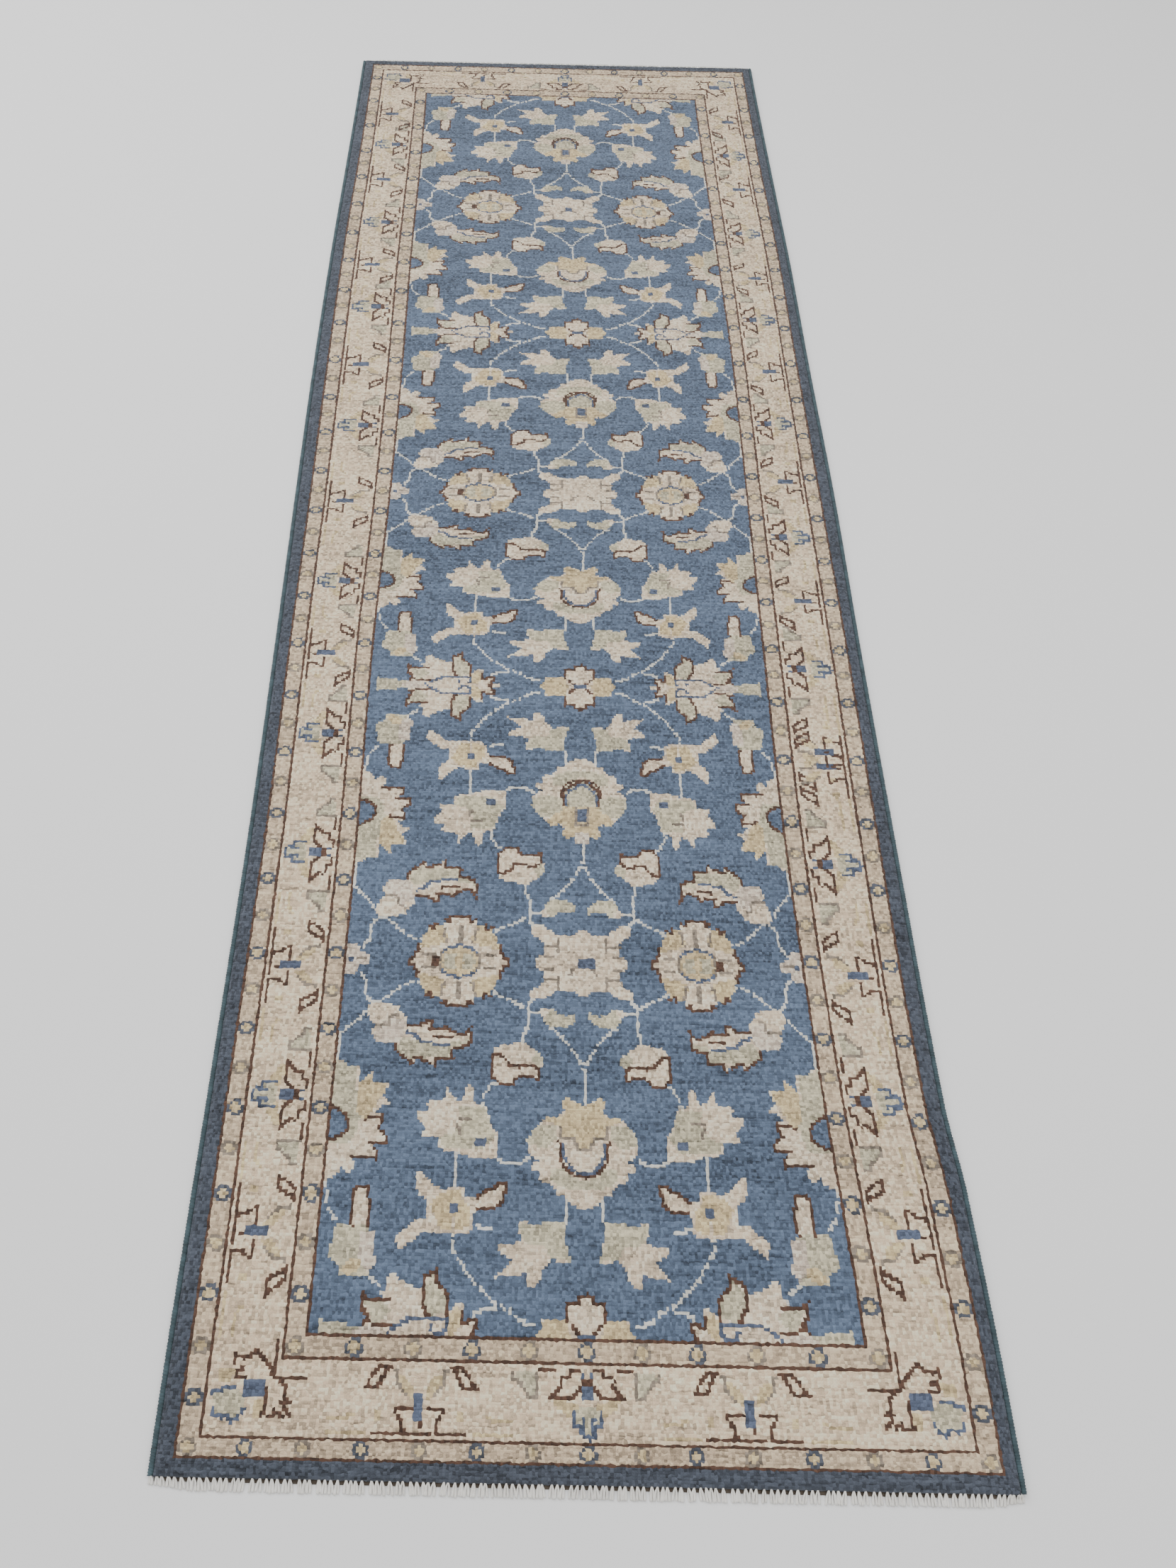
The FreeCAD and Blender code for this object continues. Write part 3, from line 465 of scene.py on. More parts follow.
PALMETTE_HALF = [
    (F, "sage", [(20, 0), (20, -5), (22, -5.4), (25.6, -5.4), (25.8, -2), (28.4, -1.4), (28.6, 0)]),
    (F, "gold", [(18.6, -2.4), (18.4, -11.4), (20.6, -9.6), (22.6, -6.6), (23.2, -5.2), (20, -2.6)]),
    (F, "slate", [(13.7, 0), (13.7, -1.7), (18.5, -1.7), (18.5, 0)]),
    (F, "brown", [(12.2, 0), (12.2, -2), (13.7, -2), (13.7, 0)]),
    (L, "brown", [(17.1, -12.4), (17.1, -4.6), (15.6, -3.4), (14.4, -2.2)]),
    (L, "brown", [(16.6, -11.2), (15.2, -9.6), (14.4, -8.2), (13.2, -8.2)]),
    (L, "brown", [(12.2, -9), (11.2, -8.6), (11.2, -5.6), (9.8, -5)]),
    (L, "brown", [(9.7, -15.6), (9.7, -10.6)]),
    (L, "brown", [(9.7, -5.8), (9.7, -2.8)]),
    (L, "slate", [(21, -4.8), (25.6, -4.8), (25.6, -2.4), (28.2, -2), (29, 0)]),
    (L, "slate", [(23.6, -2), (27, -1.8)]),
    (L, "slate", [(10.4, -1.4), (11.4, -1.4)]),
    (F, "sage", [(10, -16.4), (17.6, -16.4), (17.8, -18.4), (15.8, -20), (14.4, -21.4), (13, -22),
        (12.4, -24), (10.8, -24.4), (10, -22)]),
    (L, "tan", [(17.8, -16.2), (17.8, -18.6), (15.8, -20.2), (14.4, -21.6), (12.8, -22.4),
        (12.2, -24.2), (10.6, -24.4)]),
    (L, "tan", [(10, -16.2), (17.4, -16.2)]),
]
CORNER = [
    (F, "gold", [(22.4, 11), (27, 11), (27, 14.6), (22.6, 14.6)]),
    (F, "gold", [(12, 20), (15, 20), (15, 24.6), (11.8, 24.6)]),
    (F, "sage", [(27.6, 18), (24, 16.4), (20, 17), (17.6, 19.6), (17.6, 23), (20, 25.4), (24, 25),
        (27.4, 23)]),
    (L, "slate", [(28.6, 18.4), (28, 17.4), (26, 17.6), (24.8, 16.6), (21.6, 16.4)]),
    (L, "slate", [(27.6, 22), (27.8, 24), (25, 25), (23, 24.4), (21.4, 26), (20.2, 25.4), (18, 22.6)]),
    (F, "slate", [(12, 14.3), (18.7, 14.3), (18.7, 19.4), (12, 19.4)]),
    (L, "brown", [(11.4, 16), (11.4, 23), (12.6, 24.4)]),
    (L, "brown", [(18.6, 13.6), (21.6, 13.6), (21.4, 12), (19.6, 11.2), (21, 10)]),
    (L, "brown", [(22.4, 9.4), (22.4, 6.8), (20, 8), (17.6, 7.8), (16.6, 5), (14.8, 6.6), (13.2, 8.4),
        (11.4, 10.4), (10.4, 11.4)]),
    (L, "brown", [(10.6, 12.4), (8.6, 13.2), (6.4, 14.8), (5.2, 16.6), (5.2, 19), (3.8, 20),
        (6.2, 20.6), (5.4, 22.4), (3.4, 24.4)]),
    (L, "brown", [(11, 24), (8.6, 24), (8.2, 22.8), (6, 24.2)]),
    (L, "brown", [(9.3, 2.5), (9.3, 13.5), (-0.5, 13.5)]),
]

RING = [(-1, -2.1), (1, -2.1), (2.1, -1), (2.1, 1), (1, 2.1), (-1, 2.1), (-2.1, 1), (-2.1, -1), (-1, -2.1)]


def draw_field():
    for repeat in range(REPEATS):
        middle = (2 * repeat + 1 - REPEATS) * REPEAT_ROWS
        for way in (1, -1):
            for side in (1, -1):
                def place(x, y):
                    return side * x, middle + way * y
                for points, dash in VINES:
                    line("vine", [place(x, y) for x, y in points], dash)
                for motif in FIELD_MOTIFS:
                    draw(motif, place)
                if way < 0:
                    draw(PALMETTE_FAR, place)
        x, wide, high = STAR_HEARTS[repeat]
        fill("slate", [(x - wide, middle - high), (x + wide, middle - high), (x + wide, middle + high),
                       (x - wide, middle + high)])


def frame_fill(yarn, depth):
    x, y = FIELD_COLUMNS + depth, FIELD_ROWS + depth
    fill(yarn, [(-x, -y), (x, -y), (x, y), (-x, y)])


def draw_stripes():
    """The stripes, from the outside in, then the field's ground."""
    depth = BORDER
    for yarn, width in [("band", BAND), ("brown", LINE), ("guard", GUARD), ("brown", LINE),
                        ("ground", MAIN), ("brown", LINE), ("guard", GUARD), ("brown", LINE)]:
        frame_fill(yarn, depth)
        depth -= width
    frame_fill("field", 0)


# rows of the side borders' flowers, on the left and on the right: the weaver spaced them by eye
LILY_ROWS = {-1: [-352, -277, -187, -99, 8, 109, 255, 350],
             1: [-353, -279, -181, -96, -11, 73, 158, 165, 255, 347]}
PALMETTE_ROWS = {-1: [-317, -232, -147, -50, 63, 152, 209, 304],
                 1: [-316, -232, -140, -54, 28, 114, 210, 302]}
END_LILY = 54            # from the long axis to a lily of the end border
SIDE_RINGS, END_RINGS = 14.7, 17.7


def draw_border():
    for side in (1, -1):
        for way in (1, -1):
            for motif, rows in ((LILY_HALF, LILY_ROWS[side]), (PALMETTE_HALF, PALMETTE_ROWS[side])):
                for row in rows:
                    draw(motif, lambda d, s: (side * (FIELD_COLUMNS + d), row + way * s))
            for motif, columns in ((LILY_HALF, [-END_LILY, END_LILY]), (PALMETTE_HALF, [0])):
                for column in columns:
                    draw(motif, lambda d, s: (column + way * s, side * (FIELD_ROWS + d)))
            draw(CORNER, lambda d, s: (side * (FIELD_COLUMNS + d), way * (FIELD_ROWS + s)))


def draw_rings(depth):
    x, y = FIELD_COLUMNS + depth, FIELD_ROWS + depth
    rows, columns = 2 * round(y / SIDE_RINGS), 2 * round(x / END_RINGS)
    middles = [(side * x, -y + 2 * y * k / rows, k) for k in range(rows + 1) for side in (1, -1)]
    middles += [(-x + 2 * x * k / columns, side * y, k) for k in range(1, columns) for side in (1, -1)]
    for cx, cy, k in middles:
        outline = [(cx + dx, cy + dy) for dx, dy in RING]
        fill("gold", outline[:-1])
        line("slate" if k % 2 else "tan", outline)


# ---- regions of the chart, for pieces and slots ----------------------------------------------
knot_rows, knot_columns = np.mgrid[0:2 * ROWS, 0:2 * COLUMNS]
depth = np.maximum(np.abs(knot_columns - COLUMNS + 0.5) - FIELD_COLUMNS,
                   np.abs(knot_rows - ROWS + 0.5) - FIELD_ROWS)
in_field = depth < 0
main_start = 2 * LINE + GUARD
in_main = (depth > main_start) & (depth < main_start + MAIN)
in_guard = ~in_field & ~in_main

draw_stripes()
draw_border()
stripes = chart.copy()
draw_field()
chart[~in_field] = stripes[~in_field]
draw_rings(LINE + GUARD / 2)
draw_rings(3 * LINE + GUARD + MAIN + GUARD / 2)


# ---- vertices shared by all the pile: the corners of the knots ---------------------------------
JITTER = 0.00045          # how far a tuft leans
TUFT = 0.0011             # how much lower some tufts are clipped
SINK = {"brown": 0.0006, "vine": 0.0002, "slate": 0.0002}
EDGE_DROP = [0.0022, 0.0006]      # the pile's outermost two rows lean outwards and down
WAVE = 0.0011             # the cloth isn't quite flat on the floor
RIPPLE_REACH = 1.6        # the ripples add up to this at most, either way

corner_rows, corner_columns = np.mgrid[-ROWS:ROWS + 1, -COLUMNS:COLUMNS + 1]
corner_x, corner_y = lay(corner_columns, corner_rows)
shape = corner_x.shape


def undulation(x, y):
    """How far the rug lies off the floor, in metres."""
    ripple = np.sin(2.6 * y + 1.1) * np.cos(5.3 * x) + 0.6 * np.sin(7.1 * y + 3.7 * x + 0.5)
    return WAVE * (ripple + RIPPLE_REACH) / (2 * RIPPLE_REACH)


sunk = np.zeros(len(YARNS))
for name, amount in SINK.items():
    sunk[CODE[name]] = amount
padded_sink = np.pad(sunk[chart], 1, mode="edge")
corner_sink = (padded_sink[:-1, :-1] + padded_sink[1:, :-1] + padded_sink[:-1, 1:] + padded_sink[1:, 1:]) / 4
from_edge = np.minimum(COLUMNS - np.abs(corner_columns), ROWS - np.abs(corner_rows))
drop = np.zeros(shape)
for step, amount in enumerate(EDGE_DROP):
    drop[from_edge == step] = amount
inner = from_edge > 0
corner_x = corner_x + np.where(inner, chance.normal(0, JITTER, shape), 0)
corner_y = corner_y + np.where(inner, chance.normal(0, JITTER, shape), 0)
corner_z = (PILE_TOP - WAVE - corner_sink - drop - chance.random(shape) * TUFT
            + undulation(corner_x, corner_y))


# ---- making meshes ------------------------------------------------------------------------
def new_object(name, vertices, faces, material):
    mesh = bpy.data.meshes.new(name)
    mesh.from_pydata(vertices, [], faces)
    mesh.update()
    mesh.materials.append(material)
    mesh.polygons.foreach_set("use_smooth", [True] * len(mesh.polygons))
    made = bpy.data.objects.new(name, mesh)
    bpy.context.scene.collection.objects.link(made)
    return made


BACK_SHARE = 0.14         # how much of a pile piece's texture its back takes
GUTTER = 0.004
BACK_HEIGHT = 0.0003      # the knots' backs lie this far off the floor


def map_pile(mesh, chart_places):
    """Two maps: the chart's knots, for the material, and a flat layout for the export."""
    loops = np.empty(len(mesh.loops), np.int32)
    mesh.loops.foreach_get("vertex_index", loops)
    places = np.asarray(chart_places, float)
    knots = mesh.uv_layers.new(name="knots")
    knots.data.foreach_set("uv", places[loops].astype(np.float32).ravel())
    co = np.empty(len(mesh.vertices) * 3)
    mesh.vertices.foreach_get("co", co)
    co = co.reshape(-1, 3)
    sides = np.empty(len(mesh.polygons), np.int32)
    mesh.polygons.foreach_get("loop_total", sides)
    starts = np.r_[0, np.cumsum(sides)[:-1]]
    centre = np.repeat(np.add.reduceat(co[loops], starts) / sides[:, None], sides, axis=0)
    far = centre[:, 1] > 0
    back = centre[:, 2] < CLOTH_TOP
    width, length = np.abs(corner_x).max(), np.abs(corner_y).max()
    u = (co[loops, 0] / width + 1) / 2
    v = np.abs(co[loops, 1]) / length
    v = np.where(centre[:, 1] * co[loops, 1] < 0, 0, v)
    u = GUTTER + u * (0.5 - 2 * GUTTER) + np.where(far, 0.5, 0)
    v = np.where(back, GUTTER + v * (BACK_SHARE - 2 * GUTTER),
                 BACK_SHARE + GUTTER + v * (1 - BACK_SHARE - 2 * GUTTER))
    bake = mesh.uv_layers.new(name="OFBake")
    bake.data.foreach_set("uv", np.stack([u, v], 1).astype(np.float32).ravel())
    mesh.uv_layers.active = bake
    bake.active_render = True


def pile_piece(name, yarns, where, material):
    """One patch of pile for every knot of these yarns in a region, and the knots' backs."""
    mine = np.isin(chart, [CODE[yarn] for yarn in yarns]) & where
    rows, columns = np.nonzero(mine)
    wide = shape[1]
    first = rows * wide + columns
    quads = np.stack([first + wide, first + wide + 1, first + 1, first], 1)
    used, faces = np.unique(quads.ravel(), return_inverse=True)
    faces = faces.reshape(-1, 4)
    xyz = np.stack([corner_x.ravel()[used], corner_y.ravel()[used], corner_z.ravel()[used]], 1)
    places = np.stack([corner_columns.ravel()[used], -corner_rows.ravel()[used]], 1)

    # backs: one patch a run of knots in a row
    starts = mine & ~np.pad(mine, ((0, 0), (1, 0)))[:, :-1]
    ends = mine & ~np.pad(mine, ((0, 0), (0, 1)))[:, 1:]
    run_rows, left = np.nonzero(starts)
    right = np.nonzero(ends)[1] + 1
    back_columns = np.stack([left, right, right, left], 1) - COLUMNS
    back_rows = np.stack([run_rows, run_rows, run_rows + 1, run_rows + 1], 1) - ROWS
    bx, by = lay(back_columns.ravel(), back_rows.ravel())
    bz = np.full(bx.shape, BACK_HEIGHT)
    count = len(xyz)
    backs = np.arange(len(bx)).reshape(-1, 4) + count
    xyz = np.concatenate([xyz, np.stack([bx, by, bz], 1)])
    places = np.concatenate([places, np.stack([back_columns.ravel(), -back_rows.ravel()], 1)])
    faces = np.concatenate([faces, backs])
    piece = new_object(name, xyz.tolist(), faces.tolist(), material)
    map_pile(piece.data, places)
    return piece


# ---- materials ----------------------------------------------------------------------------
def tone(rgb, by):
    return [min(max(channel * by, 0), 1) for channel in rgb] + [1]


def linear(red, green, blue):
    """A colour given as it looks on a screen, 0 to 255, as the shader wants it."""
    return [(c / 255 / 12.92 if c <= 10 else ((c / 255 + 0.055) / 1.055) ** 2.4) for c in (red, green, blue)]


class Nodes:
    """A short way to write a material's nodes."""

    def __init__(self, name):
        self.material = bpy.data.materials.new(name)
        self.material.use_nodes = True
        self.tree = self.material.node_tree
        self.shader = self.tree.nodes["Principled BSDF"]

    def add(self, kind, settings=None, **inputs):
        node = self.tree.nodes.new("ShaderNode" + kind)
        for key, value in (settings or {}).items():
            setattr(node, key, value)
        for key, value in inputs.items():
            self.put(value, node.inputs[int(key[1:]) if key[0] == "i" and key[1:].isdigit() else key])
        return node

    def put(self, value, socket):
        if isinstance(value, bpy.types.NodeSocket):
            self.tree.links.new(value, socket)
        else:
            socket.default_value = value

    def maths(self, operation, a, b=0.0):
        return self.add("Math", {"operation": operation}, i0=a, i1=b).outputs[0]

    def vector(self, operation, a, b=(0, 0, 0)):
        return self.add("VectorMath", {"operation": operation}, i0=a, i1=b).outputs[0]

    def noise(self, at, scale, detail=2.0, roughness=0.5):
        return self.add("TexNoise", Vector=at, Scale=scale, Detail=detail, Roughness=roughness).outputs["Fac"]

    def spread(self, value, low, high, to_low=0.0, to_high=1.0):
        node = self.add("MapRange", Value=value)
        for key, number in (("From Min", low), ("From Max", high), ("To Min", to_low), ("To Max", to_high)):
            node.inputs[key].default_value = number
        return node.outputs[0]

    def ramp(self, value, stops):
        node = self.add("ValToRGB", Fac=value)
        elements = node.color_ramp.elements
        while len(elements) < len(stops):
            elements.new(0.5)
        for element, (place, colour) in zip(elements, stops):
            element.position, element.color = place, colour
        return node.outputs[0]

    def bump(self, height, distance, strength):
        return self.add("Bump", Height=height, Distance=distance, Strength=strength).outputs[0]


PARTING_SHADE = 0.30            # painted shade: how much darker the pile is where it parts between two rows


def wool_pile(name, colour, streak=0.20, band=0.10, speckle=0.40):
    """Cut wool pile: every knot has its own tone, and rows and bands of rows differ (abrash); painted shade
    darkens the gaps between tufts and where the pile parts between rows.
    """
    n = Nodes(name)
    knots = n.add("UVMap", {"uv_map": "knots"}).outputs[0]
    own = n.add("TexWhiteNoise", {"noise_dimensions": "2D"}, Vector=n.vector("FLOOR", knots)).outputs["Value"]
    streaks = n.noise(n.vector("MULTIPLY", knots, (0.045, 0.62, 1)), 1.0, 3.0, 0.6)
    bands = n.noise(n.vector("MULTIPLY", knots, (0.006, 0.05, 1)), 1.0, 2.0, 0.5)
    place = n.add("TexCoord").outputs["Object"]
    fibres = n.noise(place, 900.0, 3.0, 0.7)
    shade = n.maths("ADD", n.spread(own, 0, 1, -speckle, speckle),
                    n.spread(streaks, 0.3, 0.7, -streak, streak))
    shade = n.maths("ADD", shade, n.spread(bands, 0.35, 0.65, -band, band))
    shade = n.maths("ADD", shade, n.spread(fibres, 0.3, 0.7, -0.10, 0.10))
    # painted shade where the pile parts between rows
    parting_shade = n.spread(n.noise(n.vector("MULTIPLY", knots, (0.10, 1.1, 1)), 1.0, 1.0), 0.60, 0.70, 0, PARTING_SHADE)
    shade = n.maths("SUBTRACT", shade, parting_shade)
    parts = n.add("SeparateXYZ", Vector=n.vector("FRACTION", knots))
    dx = n.maths("ABSOLUTE", n.maths("SUBTRACT", parts.outputs[0], 0.5))
    dy = n.maths("ABSOLUTE", n.maths("SUBTRACT", parts.outputs[1], 0.5))
    valley = n.maths("MAXIMUM", dx, dy)
    # painted shade between the tufts: each knot darker towards its edges
    tuft_gap_shade = n.spread(valley, 0.30, 0.5, 0.0, 1.0)
    shade = n.maths("SUBTRACT", shade, n.maths("MULTIPLY", tuft_gap_shade, 0.10))
    stops = [(0.0, tone(colour, 0.25)), (0.5, tone(colour, 1.0)), (1.0, tone(colour, 1.70))]
    base = n.ramp(n.spread(shade, -0.8, 0.8), stops)
    n.put(base, n.shader.inputs["Base Color"])
    dome = n.maths("MULTIPLY", n.spread(dx, 0.5, 0.12, 0, 1), n.spread(dy, 0.5, 0.12, 0, 1))
    height = n.maths("ADD", n.maths("MULTIPLY", dome, 0.6), n.maths("MULTIPLY", fibres, 0.9))
    height = n.maths("ADD", height, n.maths("MULTIPLY", own, 0.35))
    n.put(n.bump(height, 0.0011, 0.8), n.shader.inputs["Normal"])
    n.put(n.spread(fibres, 0.3, 0.7, 0.82, 0.98), n.shader.inputs["Roughness"])
    n.shader.inputs["Specular IOR Level"].default_value = 0.2
    n.shader.inputs["Sheen Weight"].default_value = 0.12
    n.shader.inputs["Sheen Roughness"].default_value = 0.6
    return n.material


THREAD = 0.0011           # from one cotton thread to the next


def cotton(name, colour, lengthwise=False):
    """Undyed cotton: fine threads across or along the rug, soft grey dirt and small slubs."""
    n = Nodes(name)
    place = n.add("TexCoord").outputs["Object"]
    parts = n.add("SeparateXYZ", Vector=place)
    run = parts.outputs[0 if lengthwise else 1]
    wave = n.maths("SINE", n.maths("MULTIPLY", run, 2 * math.pi / THREAD))
    stretch = (1, 0.12, 1) if lengthwise else (0.12, 1, 1)
    slub = n.noise(n.vector("MULTIPLY", place, stretch), 1500.0, 3.0, 0.6)
    dirt = n.noise(place, 28.0, 3.0, 0.6)
    shade = n.maths("ADD", n.spread(wave, -1, 1, -0.05, 0.05), n.spread(slub, 0.3, 0.7, -0.12, 0.12))
    shade = n.maths("ADD", shade, n.spread(dirt, 0.35, 0.65, -0.10, 0.07))
    stops = [(0.0, tone(colour, 0.62)), (0.5, tone(colour, 1.0)), (1.0, tone(colour, 1.18))]
    n.put(n.ramp(n.spread(shade, -0.35, 0.35), stops), n.shader.inputs["Base Color"])
    height = n.maths("ADD", n.maths("MULTIPLY", wave, 0.35), slub)
    n.put(n.bump(height, 0.0005, 0.7), n.shader.inputs["Normal"])
    n.put(n.spread(slub, 0.3, 0.7, 0.80, 0.95), n.shader.inputs["Roughness"])
    n.shader.inputs["Specular IOR Level"].default_value = 0.25
    n.shader.inputs["Sheen Weight"].default_value = 0.08
    return n.material


def overcast_wool(name, colour):
    """Wool yarn wound round the edge cord: strands across the cord, uneven along it."""
    n = Nodes(name)
    place = n.add("TexCoord").outputs["Object"]
    strand = n.noise(n.vector("MULTIPLY", place, (0.25, 1.6, 0.25)), 1000.0, 3.0, 0.6)
    dye = n.noise(n.vector("MULTIPLY", place, (1, 12, 1)), 5.0, 3.0, 0.6)
    shade = n.maths("ADD", n.spread(strand, 0.3, 0.7, -0.2, 0.2), n.spread(dye, 0.35, 0.65, -0.22, 0.22))
    stops = [(0.0, tone(colour, 0.45)), (0.5, tone(colour, 1.0)), (1.0, tone(colour, 1.7))]
    n.put(n.ramp(n.spread(shade, -0.4, 0.4), stops), n.shader.inputs["Base Color"])
    n.put(n.bump(strand, 0.0006, 0.8), n.shader.inputs["Normal"])
    n.put(n.spread(strand, 0.3, 0.7, 0.75, 0.95), n.shader.inputs["Roughness"])
    n.shader.inputs["Sheen Weight"].default_value = 0.12
    return n.material


BLUE = linear(91, 106, 128)
IVORY = linear(232, 210, 182)
GOLD = linear(211, 188, 145)
SAGE = linear(197, 188, 160)
BROWN = linear(88, 64, 52)
SLATE = linear(88, 98, 119)
RING_SLATE = linear(86, 90, 100)
TAN = linear(140, 128, 114)
VINE = linear(218, 216, 206)
ROSE = linear(217, 199, 180)
GUARD_BEIGE = linear(210, 186, 157)
GROUND = linear(234, 208, 176)
BAND_BLUE = linear(74, 80, 91)
EDGE_GREEN = linear(60, 78, 84)
COTTON = linear(206, 203, 196)
COTTON_NEAR = linear(246, 243, 236)
COTTON_FAR = linear(220, 220, 211)
# painted shade: the woven ends' cotton, coloured dark brown-grey for the shadow between the warp bundles at
# the pile's edge
COTTON_PAINTED_SHADE = linear(96, 86, 76)


# ---- the pile -----------------------------------------------------------------------------
BLUE_PILE = wool_pile("blue_wool", BLUE, 0.30, 0.16, 0.42)
BAND_PILE = wool_pile("band_wool", BAND_BLUE, 0.26, 0.14, 0.48)

# piece, yarns, region, material, the record's slot, the CAD nodes that the piece stands for
PILE = [
    ("field_pile_blue", ["field"], in_field, BLUE_PILE, "field_wool", ["field_pile", "edge_palmette_eyes"]),
    ("flowers_ivory", ["ivory"], in_field, wool_pile("ivory_wool", IVORY), "ivory_wool",
     ["star_rosettes", "palmettes", "lotus_flowers", "tulips", "sickle_leaves", "cross_flowers"]),
    ("flowers_gold", ["gold"], in_field, wool_pile("gold_wool", GOLD), "gold_wool",
     ["round_rosettes", "small_rosettes"]),
    ("flowers_sage", ["sage"], in_field, wool_pile("sage_wool", SAGE), "sage_wool",
     ["edge_palmettes", "small_leaves", "fan_leaves", "leaf_pairs", "vase_flowers"]),
    ("flowers_rose", ["rose"], in_field, wool_pile("rose_wool", ROSE), "rose_wool", ["edge_flowers"]),
    ("flower_outlines", ["brown"], in_field, wool_pile("outline_wool", BROWN), "brown_wool", []),
    ("flower_hearts_blue", ["slate"], in_field, wool_pile("heart_wool", SLATE), "slate_wool",
     ["flower_hearts"]),
    ("flower_veins", ["tan"], in_field, wool_pile("vein_wool", TAN), "rose_wool", []),
    ("vines_ivory", ["vine"], in_field, wool_pile("vine_wool", VINE, speckle=0.08), "ivory_wool", []),
    ("border_ground", ["ground", "guard"], in_main, wool_pile("ground_wool", GROUND), "border_wool",
     ["main_border_pile"]),
    ("border_petals", ["gold"], in_main, wool_pile("border_gold_wool", GOLD), "gold_wool",
     ["border_lily_petals", "border_palmette_petals"]),
    ("border_rosettes", ["sage"], in_main, wool_pile("border_sage_wool", SAGE), "sage_wool",
     ["corner_rosettes"]),
    ("border_stems", ["slate"], in_main, wool_pile("border_slate_wool", SLATE), "slate_wool",
     ["border_lily_stems", "border_palmette_hearts", "corner_squares"]),
    ("border_outlines", ["brown"], in_main, wool_pile("border_brown_wool", BROWN), "brown_wool", []),
    ("border_shading", ["tan"], in_main, wool_pile("border_tan_wool", TAN), "rose_wool", []),
    ("stripe_lines", ["brown"], in_guard, wool_pile("line_wool", BROWN), "brown_wool",
     ["field_edge_line", "inner_border_line", "outer_border_line", "band_edge_line"]),
    ("guard_ground", ["guard"], in_guard, wool_pile("guard_wool", GUARD_BEIGE), "guard_wool",
     ["inner_guard_pile", "outer_guard_pile"]),
    ("guard_rings_blue", ["slate"], in_guard, wool_pile("ring_blue_wool", RING_SLATE), "ring_wool",
     ["inner_guard_rings"]),
    ("guard_rings_tan", ["tan"], in_guard, wool_pile("ring_tan_wool", TAN), "ring_wool",
     ["outer_guard_rings"]),
    ("guard_ring_hearts", ["gold"], in_guard, wool_pile("ring_gold_wool", GOLD), "ring_wool", []),
    ("outer_band_blue", ["band"], in_guard, BAND_PILE, "band_wool", ["outer_band_pile"]),
]


def finish_piece(piece, slot, nodes):
    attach(piece, "root")
    if nodes:
        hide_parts(*nodes)
    return piece


for name, yarns, where, material, slot, nodes in PILE:
    finish_piece(pile_piece(name, yarns, where, material), slot, nodes)


def round_edge(grid):
    """The values along a grid's edge, once round, to the right along the near end first."""
    return np.concatenate([grid[-1, :], grid[-2::-1, -1], grid[0, -2::-1], grid[1:-1, 0]])


SIDE_STEPS = [1, 0.66, 0.33, 0]
SIDE_BULGE = 0.0007
SIDE_SPREAD = 0.0002      # how unevenly the outermost tufts stand out


def pile_sides():
    """The outermost tufts, from their tops down to the cloth, all round the rug."""
    x, y, z = round_edge(corner_x), round_edge(corner_y), round_edge(corner_z)
    columns, rows = round_edge(corner_columns), round_edge(corner_rows)
    out_x = np.sign(columns) * (abs(columns) == COLUMNS)
    out_y = -np.sign(rows) * (abs(rows) == ROWS)
    levels, places = [], []
    for step in SIDE_STEPS:
        bulge = SIDE_BULGE * 4 * step * (1 - step) + chance.normal(0, SIDE_SPREAD, len(x)) * (0 < step < 1)
        height = BACK_HEIGHT + (z - BACK_HEIGHT) * step
        levels.append(np.stack([x + out_x * bulge, y + out_y * bulge, height], 1))
        places.append(np.stack([columns + out_x * (1 - step), -rows + out_y * (1 - step)], 1))
    here = np.arange(len(x))
    after = np.roll(here, -1)
    quads = [np.stack([low + here, low + after, high + after, high + here], 1)
             for high, low in zip(range(0, len(x) * 3, len(x)), range(len(x), len(x) * 4, len(x)))]
    piece = new_object("pile_sides", np.concatenate(levels).tolist(), np.concatenate(quads).tolist(),
                       BAND_PILE)
    map_pile(piece.data, np.concatenate(places))
    return piece


finish_piece(pile_sides(), "band_wool", [])


# ---- the cloth and the woven ends -------------------------------------------------------------
def slab(name, columns, rows, low, high, material):
    """A thin closed sheet that covers these chart columns and rows."""
    gx, gy = np.meshgrid(columns, rows)
    x, y = lay(gx, gy)
    layers = np.concatenate([np.stack([x, y, np.full(x.shape, z)], 2).reshape(-1, 3) for z in (high, low)])
    index = np.arange(x.size).reshape(x.shape)
    top = np.stack([index[1:, :-1], index[1:, 1:], index[:-1, 1:], index[:-1, :-1]], 2).reshape(-1, 4)
    edge = round_edge(index)
    after = np.roll(edge, -1)
    rim = np.stack([edge + x.size, after + x.size, after, edge], 1)
    faces = np.concatenate([top, top[:, ::-1] + x.size, rim])
    return new_object(name, layers.tolist(), faces.tolist(), material)


WARP_COTTON = cotton("warp_cotton", COTTON)
CLOTH_LOW = 0.0005
foundation = slab("foundation_cloth", np.linspace(-COLUMNS, COLUMNS, 91), np.linspace(-ROWS, ROWS, 282),
                  CLOTH_LOW, CLOTH_TOP, WARP_COTTON)
finish_piece(foundation, "cotton_weave", ["foundation_weave"])

WEAVE_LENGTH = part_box("end_weave_near")[1].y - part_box("end_weave_near")[0].y
WEAVE_TOP = 0.0008
# the woven ends get the dark cotton: painted shade where the warp bundles part at the pile's edge
PAINTED_SHADE_COTTON = cotton("painted_shade_cotton", COTTON_PAINTED_SHADE)
for end, name in ((1, "near"), (-1, "far")):
    rows = np.sort([end * (ROWS - 1), end * (ROWS + WEAVE_LENGTH / ROW)])
    finish_piece(slab("woven_end_" + name, np.linspace(-COLUMNS, COLUMNS, 271), rows, BACK_HEIGHT, WEAVE_TOP,
                      PAINTED_SHADE_COTTON), "cotton_weave", ["end_weave_" + name])


